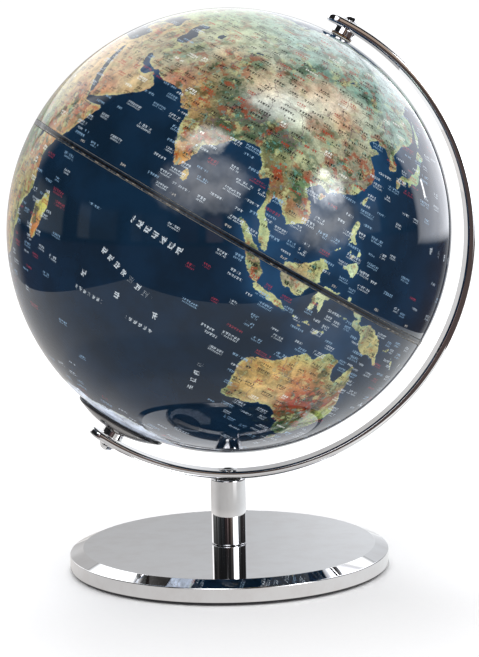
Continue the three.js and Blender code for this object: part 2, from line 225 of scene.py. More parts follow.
def rounded(corners, steps=5):
    """Replaces each (radius, height, fillet) corner by an arc. A point a quarter of the arc's reach
    beyond each end of it keeps the flats flat. A corner with fillet 0 stays sharp."""
    flat_point = 1.25
    room_for_flat = 2.5
    result = []
    for index, (x, y, fillet) in enumerate(corners):
        here = Vector((x, y))
        if fillet == 0:
            result.append((x, y))
            continue
        before = Vector(corners[index - 1][:2]) - here
        after = Vector(corners[(index + 1) % len(corners)][:2]) - here
        to_before, to_after = before.normalized(), after.normalized()
        half = to_before.angle(to_after) / 2
        tangent = fillet / math.tan(half)
        centre = here + (to_before + to_after).normalized() * (fillet / math.sin(half))
        start = here + to_before * tangent - centre
        end = here + to_after * tangent - centre
        sweep = start.angle(end)
        if before.length > room_for_flat * tangent:
            result.append(tuple(here + to_before * tangent * flat_point))
        for step in range(steps + 1):
            share = step / steps
            mixed = start * math.sin((1 - share) * sweep) + end * math.sin(share * sweep)
            result.append(tuple(centre + mixed / math.sin(sweep)))
        if after.length > room_for_flat * tangent:
            result.append(tuple(here + to_after * tangent * flat_point))
    return result


def arc_points(radius, centre_height, from_angle, to_angle, steps):
    """(radius, height) points on a circle whose centre is on the axis."""
    angles = np.linspace(from_angle, to_angle, steps + 1)
    return [(radius * math.cos(a), centre_height + radius * math.sin(a)) for a in angles]


def ring(name, inner, outer, bottom, top, fillet, matrix):
    """A flat ring whose four edges are rounded alike."""
    corners = [
        (inner, bottom, fillet),
        (outer, bottom, fillet),
        (outer, top, fillet),
        (inner, top, fillet),
    ]
    return revolve(name, rounded(corners, 4), SMALL_COLUMNS, matrix)


def cut(piece, cutters):
    """Cuts holes in a piece, and removes the cutters."""
    for cutter in cutters:
        modifier = piece.modifiers.new("hole", "BOOLEAN")
        modifier.operation = "DIFFERENCE"
        modifier.solver = "EXACT"
        modifier.object = cutter
    bpy.context.view_layer.update()
    evaluated = piece.evaluated_get(bpy.context.evaluated_depsgraph_get())
    result = bpy.data.meshes.new_from_object(evaluated)
    piece.modifiers.clear()
    piece.data = result
    result.set_sharp_from_angle(angle=math.radians(SHARP_DEGREES))
    for cutter in cutters:
        bpy.data.objects.remove(cutter)


def cutter_bar(radius, bottom, top, columns, matrix):
    """A straight cutter for a hole. As a hexagon, its radius is across the corners."""
    profile = [(0, bottom), (radius, bottom), (radius, top), (0, top)]
    return revolve("cutter", profile, columns, matrix)


# ---- Material helpers ----


def srgb(text):
    """A linear colour from hex digits."""
    parts = [int(text[i:i + 2], 16) / 255 for i in (0, 2, 4)]
    return tuple(p / 12.92 if p <= 0.04045 else ((p + 0.055) / 1.055) ** 2.4 for p in parts)


class Wire:
    """The output of a node, which takes part in arithmetic so that a pattern reads as a formula."""

    def __init__(self, tree, socket):
        self.tree = tree
        self.socket = socket

    def math(self, operation, *others):
        """The result of a Math node, with this value as its first input."""
        node = self.tree.nodes.new("ShaderNodeMath")
        node.operation = operation
        for socket, value in zip(node.inputs, (self, *others)):
            connect(self.tree, socket, value)
        return Wire(self.tree, node.outputs[0])

    def __add__(self, other):
        return self.math("ADD", other)

    def __radd__(self, other):
        return self.math("ADD", other)

    def __sub__(self, other):
        return self.math("SUBTRACT", other)

    def __rsub__(self, other):
        return self.math("MULTIPLY", -1.0).math("ADD", other)

    def __mul__(self, other):
        return self.math("MULTIPLY", other)

    def __rmul__(self, other):
        return self.math("MULTIPLY", other)

    def __truediv__(self, other):
        return self.math("DIVIDE", other)

    def above(self, other):
        return self.math("GREATER_THAN", other)

    def below(self, other):
        return self.math("LESS_THAN", other)

    def floor(self):
        return self.math("FLOOR")

    def fraction(self):
        return self.math("FRACT")

    def size(self):
        return self.math("ABSOLUTE")

    def most(self, other):
        return self.math("MAXIMUM", other)

    def least(self, other):
        return self.math("MINIMUM", other)

    def power(self, other):
        return self.math("POWER", other)

    def ramp(self, low, high, to_low=0.0, to_high=1.0):
        """Eases from to_low to to_high as the value goes from low to high."""
        node = self.tree.nodes.new("ShaderNodeMapRange")
        node.interpolation_type = "SMOOTHSTEP"
        for socket, value in zip(node.inputs, (self, low, high, to_low, to_high)):
            connect(self.tree, socket, value)
        return Wire(self.tree, node.outputs[0])

    def parts(self):
        """The three parts of a vector or colour."""
        node = self.tree.nodes.new("ShaderNodeSeparateXYZ")
        connect(self.tree, node.inputs[0], self)
        return [Wire(self.tree, output) for output in node.outputs]


def connect(tree, socket, value):
    """Links a wire to a socket, or sets a plain number or colour on it."""
    if isinstance(value, Wire):
        tree.links.new(value.socket, socket)
    elif isinstance(value, tuple) and socket.type == "RGBA":
        socket.default_value = (*value[:3], 1.0)
    else:
        socket.default_value = value


def distance_from_axis(x, y):
    """Distance from the upright axis of the stand."""
    return (x * x + y * y).power(0.5)


def turn_from_front(x, y):
    """Angle in degrees from the front of the object towards its right."""
    return x.math("ARCTAN2", y * -1.0) * DEGREES


class Paint:
    """A node tree with short calls for the nodes it uses."""

    def __init__(self, tree):
        self.tree = tree

    def node(self, kind, output, inputs, **settings):
        """Adds a node, fills its inputs, and returns the wire from one of its outputs."""
        node = self.tree.nodes.new(kind)
        for name, value in settings.items():
            setattr(node, name, value)
        for name, value in inputs.items():
            connect(self.tree, node.inputs[name], value)
        return Wire(self.tree, node.outputs[output])

    def place(self):
        """Position in the piece's own frame, in millimetres."""
        metres = self.node("ShaderNodeTexCoord", "Object", {})
        return self.node("ShaderNodeVectorMath", 0, {0: metres, 3: 1 / MM}, operation="SCALE")

    def attribute(self, name, output="Fac"):
        return self.node("ShaderNodeAttribute", output, {}, attribute_name=name)

    def noise(self, vector, size, detail=2.0, roughness=0.5, output="Fac"):
        """Noise whose lumps are about size millimetres across."""
        inputs = {"Vector": vector, "Scale": 1 / size, "Detail": detail, "Roughness": roughness}
        return self.node("ShaderNodeTexNoise", output, inputs)

    def cell_borders(self, vector, size):
        """Distance to the nearest border between scattered cells about size millimetres across."""
        inputs = {"Vector": vector, "Scale": 1 / size}
        return self.node("ShaderNodeTexVoronoi", "Distance", inputs, feature="DISTANCE_TO_EDGE")

    def dice(self, x, y, z):
        """Three random numbers that depend only on the three given."""
        triple = self.node("ShaderNodeCombineXYZ", 0, {0: x, 1: y, 2: z})
        inputs = {"Vector": triple}
        return self.node("ShaderNodeTexWhiteNoise", "Color", inputs, noise_dimensions="3D").parts()

    def stretch(self, vector, x, y, z):
        return self.node("ShaderNodeVectorMath", 0, {0: vector, 1: (x, y, z)}, operation="MULTIPLY")

    def mix(self, share, first, second):
        """A colour that goes from first to second as share goes from 0 to 1."""
        node = self.tree.nodes.new("ShaderNodeMix")
        node.data_type = "RGBA"
        for place, value in ((0, share), (6, first), (7, second)):
            connect(self.tree, node.inputs[place], value)
        return Wire(self.tree, node.outputs[2])

    def scale_colour(self, colour, factor):
        return self.node("ShaderNodeVectorMath", 0, {0: colour, 3: factor}, operation="SCALE")


def material(name, describe):
    """A Principled material. describe(paint) returns its sockets' values, and "Bump" as (height, mm)."""
    made = bpy.data.materials.new(name)
    made.use_nodes = True
    tree = made.node_tree
    shader = tree.nodes["Principled BSDF"]
    paint = Paint(tree)
    values = describe(paint)
    bump = values.pop("Bump", None)
    if bump is not None:
        height, depth = bump
        inputs = {"Height": height, "Strength": 1.0, "Distance": depth * MM}
        values["Normal"] = paint.node("ShaderNodeBump", "Normal", inputs)
    for socket, value in values.items():
        connect(tree, shader.inputs[socket], value)
    return made


def finish_piece(piece, look, body, slot, *nodes):
    """Gives a piece its material, sets it on its body, and hides the CAD nodes it stands for."""
    piece.data.materials.clear()
    piece.data.materials.append(look)
    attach(piece, body)
    if nodes:
        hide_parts(*nodes)


# ---- Metals and plastics ----


def chrome_look(paint):
    """Polished plate: wiped smears in the gloss, hairline scratches and a faint ripple."""
    place = paint.place()
    smears = paint.noise(place, 14.0, 4.0, 0.6)
    specks = paint.noise(place, 0.6, 2.0)
    ripple = paint.noise(place, 30.0, 1.0)
    hairs = paint.noise(paint.stretch(place, 6.0, 0.25, 6.0), 1.0, 2.0)
    tarnish = smears.ramp(0.35, 0.75)
    return {
        "Base Color": paint.mix(tarnish, srgb("f0f1f3"), srgb("eae9ea")),
        "Metallic": 1.0,
        "Roughness": smears.ramp(0.4, 0.8, 0.014, 0.035) + specks.ramp(0.62, 0.8, 0.0, 0.015),
        "Bump": (ripple * 0.16 + hairs * 0.003 + specks * 0.001, 0.12),
    }


def zinc_look(paint):
    """Zinc plate: dull blotches and turning marks."""
    place = paint.place()
    blotches = paint.noise(place, 3.0, 5.0, 0.65)
    grain = paint.noise(place, 0.25, 2.0)
    return {
        "Base Color": paint.mix(blotches.ramp(0.35, 0.65), srgb("b9bab8"), srgb("93908a")),
        "Metallic": 1.0,
        "Roughness": blotches.ramp(0.3, 0.7, 0.22, 0.42),
        "Bump": (grain, 0.01),
    }


def iron_look(paint):
    """Cast iron: dark, pitted, with rust in the hollows."""
    place = paint.place()
    pits = paint.noise(place, 1.2, 5.0, 0.7)
    rust = paint.noise(place, 9.0, 4.0, 0.6)
    return {
        "Base Color": paint.mix(rust.ramp(0.55, 0.72), srgb("3b3a39"), srgb("5a3a28")),
        "Metallic": 0.7,
        "Roughness": pits.ramp(0.3, 0.7, 0.55, 0.85),
        "Bump": (pits, 0.25),
    }


def bronze_look(paint):
    """Sintered bronze: fine pores and darker worn rings."""
    place = paint.place()
    pores = paint.noise(place, 0.2, 3.0)
    wear = paint.noise(place, 2.0, 3.0)
    return {
        "Base Color": paint.mix(wear.ramp(0.35, 0.7), srgb("9a7450"), srgb("5d4331")),
        "Metallic": 0.9,
        "Roughness": wear.ramp(0.3, 0.7, 0.28, 0.5),
        "Bump": (pores, 0.02),
    }


def black_plastic_look(paint):
    """Moulded black plastic: glossy, with flow marks and fine dust."""
    place = paint.place()
    flow = paint.noise(place, 16.0, 3.0)
    dust = paint.noise(place, 0.5, 2.0).ramp(0.68, 0.8)
    tone = paint.mix(flow.ramp(0.35, 0.7), srgb("100f11"), srgb("1d1a1b"))
    return {
        "Base Color": paint.mix(dust * 0.35, tone, srgb("4a4644")),
        "Roughness": flow.ramp(0.3, 0.75, 0.1, 0.22),
        "Coat Weight": 0.5,
        "Coat Roughness": 0.06,
        "Bump": (flow + dust * 0.05, 0.05),
    }


def white_plastic_look(paint):
    """Turned acetal: milky, with faint tool rings."""
    place = paint.place()
    cloud = paint.noise(place, 2.5, 3.0)
    rings = paint.noise(paint.stretch(place, 0.2, 0.2, 5.0), 0.8, 1.0)
    return {
        "Base Color": paint.mix(cloud, srgb("dcdad2"), srgb("c5c1b5")),
        "Roughness": cloud.ramp(0.3, 0.7, 0.35, 0.5),
        "Subsurface Weight": 0.1,
        "Subsurface Radius": (0.001, 0.0008, 0.0006),
        "Bump": (rings, 0.02),
    }


def board_look(paint):
    """Grey board: pressed fibres."""
    place = paint.place()
    fibres = paint.noise(paint.stretch(place, 1.0, 1.0, 4.0), 1.5, 5.0, 0.7)
    return {
        "Base Color": paint.mix(fibres.ramp(0.3, 0.7), srgb("a59c8c"), srgb("7b7264")),
        "Roughness": 0.9,
        "Bump": (fibres, 0.15),
    }


def felt_look(paint):
    """Black felt: matted fibres with lint."""
    place = paint.place()
    fibres = paint.noise(place, 0.5, 5.0, 0.75)
    lint = paint.noise(paint.stretch(place, 1.0, 0.25, 1.0), 0.7, 3.0).ramp(0.66, 0.74)
    tone = paint.mix(fibres.ramp(0.3, 0.7), srgb("1a191b"), srgb("333136"))
    return {
        "Base Color": paint.mix(lint * 0.5, tone, srgb("6d6a66")),
        "Roughness": 0.95,
        "Sheen Weight": 0.5,
        "Sheen Roughness": 0.4,
        "Bump": (fibres, 0.3),
    }


def bare_shell_look(paint):
    """The unprinted inside of the ball."""
    place = paint.place()
    cloud = paint.noise(place, 12.0, 5.0, 0.6)
    return {
        "Base Color": paint.mix(cloud, srgb("b9b4a8"), srgb("a29c8e")),
        "Roughness": cloud.ramp(0.3, 0.7, 0.5, 0.7),
        "Bump": (cloud, 0.2),
    }


chrome = material("chrome_plate", chrome_look)
zinc = material("zinc_plate", zinc_look)
iron = material("cast_iron_weight", iron_look)
bronze = material("sintered_bronze", bronze_look)
black_plastic = material("moulded_black", black_plastic_look)
white_plastic = material("turned_white", white_plastic_look)
board = material("grey_board", board_look)
felt = material("black_felt", felt_look)
bare_shell = material("bare_shell", bare_shell_look)

# Parts that stay hidden keep the shape of the CAD model and only take a material.
for node_name, look in {
    "base_weight": iron,
    "stem_foot_plug": zinc,
    "tie_washer": zinc,
    "tie_lock_washer": zinc,
    "tie_nut": zinc,
    "joint_ring": board,
    "north_bush_retainer": zinc,
    "south_bush_retainer": zinc,
}.items():
    node = frame["nodes"][node_name]
    node.data.materials.clear()
    node.data.materials.append(look)


# ---- Base, stem and bolt ----

top_radius = BASE_RADIUS - BASE_CHAMFER_WIDTH
base = revolve("base_plate", rounded([
    (BASE_RADIUS - BASE_WALL, BASE_BOTTOM, 0),
    (BASE_RADIUS, BASE_BOTTOM, 0.4),
    (BASE_RADIUS, BASE_RIM_TOP, 0.6),
    (top_radius, BASE_TOP, 0.8),
    (BOLT_HOLE_RADIUS, BASE_TOP, 0.3),
    (BOLT_HOLE_RADIUS, BASE_TOP - BASE_WALL, 0),
    (top_radius - BASE_WALL / 2, BASE_TOP - BASE_WALL, 0),
    (BASE_RADIUS - BASE_WALL, BASE_RIM_TOP - BASE_WALL / 2, 0),
]), BASE_COLUMNS, upright)
finish_piece(base, chrome, "stand", "chrome", "base_cover")

pad = revolve("base_felt", rounded([
    (0, 0, 0),
    (PAD_RADIUS, 0, 0.35),
    (PAD_RADIUS, PAD_THICKNESS, 0.35),
    (0, PAD_THICKNESS, 0),
]), BASE_COLUMNS, upright)
finish_piece(pad, felt, "stand", "pad_felt", "base_pad")

stem_bottom = BASE_TOP + TOUCH_GAP
stem_top = ARM_FOOT_OUTER - STEM_TO_ARM
stem_inner = STEM_RADIUS - STEM_WALL
stem = revolve("stem_pillar", rounded([
    (stem_inner, stem_bottom, 0.2),
    (STEM_RADIUS, stem_bottom, 0.5),
    (STEM_RADIUS, stem_top, 1.0),
    (stem_inner, stem_top, 0.25),
]), BASE_COLUMNS, upright)
finish_piece(stem, chrome, "stand", "chrome", "stem_tube")

stem_cap = ring("stem_top_disc", BOLT_HOLE_RADIUS, stem_inner - PLUG_SIDE_GAP,
                ARM_FOOT_OUTER - PLUG_LENGTH, stem_top - PLUG_TOP_GAP, 0.25, upright)
finish_piece(stem_cap, zinc, "stand", "zinc_steel", "stem_top_plug")

bolt_head_top = ARM_FOOT_INNER + BOLT_HEAD_RISE
bolt = revolve("tie_bolt_screw", rounded([
    (0, BOLT_END, 0),
    (BOLT_RADIUS, BOLT_END, 0.4),
    (BOLT_RADIUS, bolt_head_top - (BOLT_HEAD_RADIUS - BOLT_RADIUS), 0.2),
    (BOLT_HEAD_RADIUS, bolt_head_top, 0.12),
    (BOLT_SOCKET_RADIUS + 0.8, bolt_head_top + BOLT_HEAD_RISE, 0.4),
    (0, bolt_head_top + BOLT_HEAD_RISE, 0),
]), SMALL_COLUMNS, upright)
cut(bolt, [cutter_bar(BOLT_SOCKET_RADIUS, bolt_head_top - BOLT_SOCKET_DEPTH,
                      bolt_head_top + SOCKET_OVERRUN, HEXAGON, upright)])
finish_piece(bolt, chrome, "stand", "zinc_steel", "tie_bolt")

# ---- Arm ----


def arm_bar():
    """A flat bar bent to an arc, with soft edges and half-round ends. It is built flat, from rings
    of (along, across, height) that follow its stadium outline, and then wrapped round the arc."""
    half_width = ARM_WIDTH / 2
    half_thickness = ARM_THICKNESS / 2
    overrun = ARM_OVERRUN / ARM_MIDDLE_RADIUS
    start = arm_angle(-north) - overrun + half_width / ARM_MIDDLE_RADIUS
    finish = arm_angle(north) + overrun - half_width / ARM_MIDDLE_RADIUS
    straight_steps, round_steps, edge_steps = 220, 32, 7
    straight = np.linspace(start, finish, straight_steps) * ARM_MIDDLE_RADIUS
    bends = np.linspace(-math.pi / 2, math.pi / 2, round_steps + 1)[1:-1]

    def outline(inset):
        """(along, across) points of the stadium outline, moved inwards by inset."""
        reach = half_width - inset
        path = [(along, -reach) for along in straight]
        path += [(straight[-1] + reach * math.cos(a), reach * math.sin(a)) for a in bends]
        path += [(along, reach) for along in straight[::-1]]
        path += [(straight[0] - reach * math.cos(a), -reach * math.sin(a)) for a in bends]
        return path

    sections = []
    for side in (-1, 1):
        angles = np.linspace(0, math.pi / 2, edge_steps + 1)
        edge = [(ARM_EDGE_FILLET * (1 - math.cos(a)),
                 half_thickness - ARM_EDGE_FILLET * (1 - math.sin(a))) for a in angles]
        edge.append((ARM_EDGE_FILLET * 1.25, half_thickness))
        rows = [(inset, side * height) for inset, height in edge]
        sections += rows[::-1] if side < 0 else rows
    points = []
    for inset, height in sections:
        radius = ARM_MIDDLE_RADIUS + height
        for along, across in outline(inset):
            angle = along / ARM_MIDDLE_RADIUS
            points.append((radius * math.cos(angle), across, radius * math.sin(angle)))
    count = len(outline(0))
    faces = []
    for row in range(len(sections) - 1):
        low, high = row * count, (row + 1) * count
        for i in range(count):
            j = (i + 1) % count
            faces.append((low + i, low + j, high + j, high + i))

    # The broad faces: strips between pairs of points across the bar, closed at the tip of each end.
    bend_count = len(bends)
    quarter = range(bend_count // 2)
    back = 2 * straight_steps + bend_count
    pairs = [(back + bend_count - 1 - k, back + k) for k in quarter][::-1]
    pairs += [(i, back - 1 - i) for i in range(straight_steps)]
    pairs += [(straight_steps + k, straight_steps + bend_count - 1 - k) for k in quarter]
    apexes = (back + bend_count // 2, straight_steps + bend_count // 2)
    for base_index, flip in ((0, False), ((len(sections) - 1) * count, True)):
        strips = [(a, c, d, b) for (a, b), (c, d) in zip(pairs, pairs[1:])]
        strips.insert(0, (apexes[0], pairs[0][0], pairs[0][1]))
        strips.append((pairs[-1][0], apexes[1], pairs[-1][1]))
        for strip in strips:
            face = tuple(base_index + i for i in strip)
            faces.append(face if flip else face[::-1])
    return build_mesh("meridian_bar", points, faces, Matrix.Translation(arm_centre))


arm = arm_bar()
sink_radius = BOLT_HEAD_RADIUS + TOUCH_GAP
sink_bottom = ARM_FOOT_OUTER - SOCKET_OVERRUN
sink_top = bolt_head_top + SOCKET_OVERRUN
countersink = revolve("cutter", [
    (0, sink_bottom),
    (BOLT_HOLE_RADIUS, sink_bottom),
    (BOLT_HOLE_RADIUS, bolt_head_top - (sink_radius - BOLT_HOLE_RADIUS)),
    (sink_radius, bolt_head_top),
    (sink_radius, sink_top),
    (0, sink_top),
], SMALL_COLUMNS, upright)
pin_holes = []
for direction, matrix in ((north, polar), (-north, southward)):
    face_in, face_out = reach_of_faces(direction)
    pin_holes.append(cutter_bar(PIN_BORE, face_in - PIN_HOLE_OVERRUN, face_out + PIN_HOLE_OVERRUN,
                                SMALL_COLUMNS, matrix))
cut(arm, [*pin_holes, countersink])
finish_piece(arm, chrome, "stand", "chrome", "meridian_arm")

# ---- Pivots ----

cap_top = GLOBE_RADIUS + CAP_HEIGHT
cap_recess_floor = cap_top - CAP_RECESS_DEPTH


def add_pivot(side, direction, matrix, flange_bottom):
    """The bush that turns with the ball, the bronze washer, and the collar and screw on the arm."""
    face_in, face_out = reach_of_faces(direction)
    flange_top = flange_bottom + BUSH_FLANGE_THICKNESS
    bush = revolve(f"{side}_pole_bush", rounded([
        (PIN_BORE, BUSH_INNER_END, 0),
        (BUSH_RADIUS, BUSH_INNER_END, 0.3),
        (BUSH_RADIUS, flange_bottom, 0),
        (BUSH_FLANGE_RADIUS, flange_bottom, 0.15),
        (BUSH_FLANGE_RADIUS, flange_top, 0.2),
        (PIN_BORE, flange_top, 0),
    ]), SMALL_COLUMNS, matrix)
    finish_piece(bush, white_plastic, "globe", "white_plastic", f"{side}_bush")

    washer_bottom = flange_top + TOUCH_GAP
    washer_top = washer_bottom + WASHER_THICKNESS
    washer = ring(f"{side}_thrust_washer", PIN_BORE, WASHER_RADIUS,
                  washer_bottom, washer_top, 0.1, matrix)
    finish_piece(washer, bronze, "stand", "bronze", f"{side}_washer")

    collar = ring(f"{side}_spacer", PIN_BORE, COLLAR_RADIUS,
                  washer_top + TOUCH_GAP, face_in - COLLAR_TO_ARM, 0.3, matrix)
    finish_piece(collar, chrome, "stand", "chrome", f"{side}_collar")

    seat = face_out + COLLAR_TO_ARM
    head_top = seat + PIVOT_HEAD_HEIGHT
    dome_radius = (PIVOT_HEAD_RADIUS ** 2 + PIVOT_HEAD_HEIGHT ** 2) / (2 * PIVOT_HEAD_HEIGHT)
    rim_angle = math.acos(PIVOT_HEAD_RADIUS / dome_radius)
    dome = arc_points(dome_radius, head_top - dome_radius, rim_angle, math.pi / 2, 16)
    screw = revolve(f"{side}_pivot_bolt", [
        (0, PIN_REACH),
        (PIN_RADIUS - 0.3, PIN_REACH),
        (PIN_RADIUS, PIN_REACH + 0.3),
        (PIN_RADIUS, seat),
        (PIVOT_HEAD_RADIUS - 0.3, seat),
        (PIVOT_HEAD_RADIUS, seat + 0.15),
        *dome[1:-1],
        (0, head_top),
    ], SMALL_COLUMNS, matrix)
    cut(screw, [cutter_bar(PIVOT_SOCKET_RADIUS, head_top - PIVOT_SOCKET_DEPTH,
                           head_top + SOCKET_OVERRUN, HEXAGON, matrix)])
    finish_piece(screw, chrome, "stand", "chrome", f"{side}_pivot_screw")


add_pivot("north", north, polar, GLOBE_RADIUS + TOUCH_GAP)
add_pivot("south", -north, southward, cap_recess_floor + TOUCH_GAP)

# ---- Cap over the south pole ----

inner_dome = CAP_DOME_RADIUS - CAP_WALL
inner_rim = CAP_RADIUS - CAP_WALL
dome_centre = cap_top - CAP_DOME_RADIUS
rim_bottom = math.sqrt(GLOBE_RADIUS ** 2 - inner_rim ** 2) + TOUCH_GAP
hub_radius = CAP_RECESS_RADIUS + CAP_WALL
rim_top = dome_centre + math.sqrt(CAP_DOME_RADIUS ** 2 - CAP_RADIUS ** 2)
cap_profile = [
    (CAP_RADIUS - 0.3, rim_bottom),
    (CAP_RADIUS, rim_bottom + 0.3),
    (CAP_RADIUS, rim_top - 0.4),
    *arc_points(CAP_DOME_RADIUS, dome_centre, math.acos((CAP_RADIUS - 0.25) / CAP_DOME_RADIUS),
                math.acos((CAP_RECESS_RADIUS + 0.3) / CAP_DOME_RADIUS), 40),
    (CAP_RECESS_RADIUS, cap_top - 0.9),
    (CAP_RECESS_RADIUS, cap_recess_floor),
    (POLE_HOLE_RADIUS, cap_recess_floor),
    (POLE_HOLE_RADIUS, cap_recess_floor - CAP_WALL),
    (hub_radius, cap_recess_floor - CAP_WALL),
    *arc_points(inner_dome, dome_centre, math.acos(hub_radius / inner_dome),
                math.acos(inner_rim / inner_dome), 12),
    (inner_rim, rim_bottom),
]
cap = revolve("pole_cap", cap_profile, CAP_COLUMNS, southward)
finish_piece(cap, black_plastic, "globe", "black_plastic", "south_cap")

# ---- The map: coasts ----

# Longitude that lies on the polar frame's X axis.
MAP_TURN = 193.4

# The print runs wide of the true longitudes on either side of its middle, as paper does when it is
# stretched over a ball. Australia sits a little low.
PRINT_MIDDLE = 88
PRINT_WIDENING = 2.6
AUSTRALIA_DROP = 1.0

# Coasts further than this from a point don't count for it, in degrees and in millimetres.
COAST_SEARCH_DEGREES = 14.0
COAST_LIMIT = 30.0

# The share of each edge that is cut away at its ends to round a coast.
COAST_SOFTENING = 0.2

FAR_AWAY = 1e9

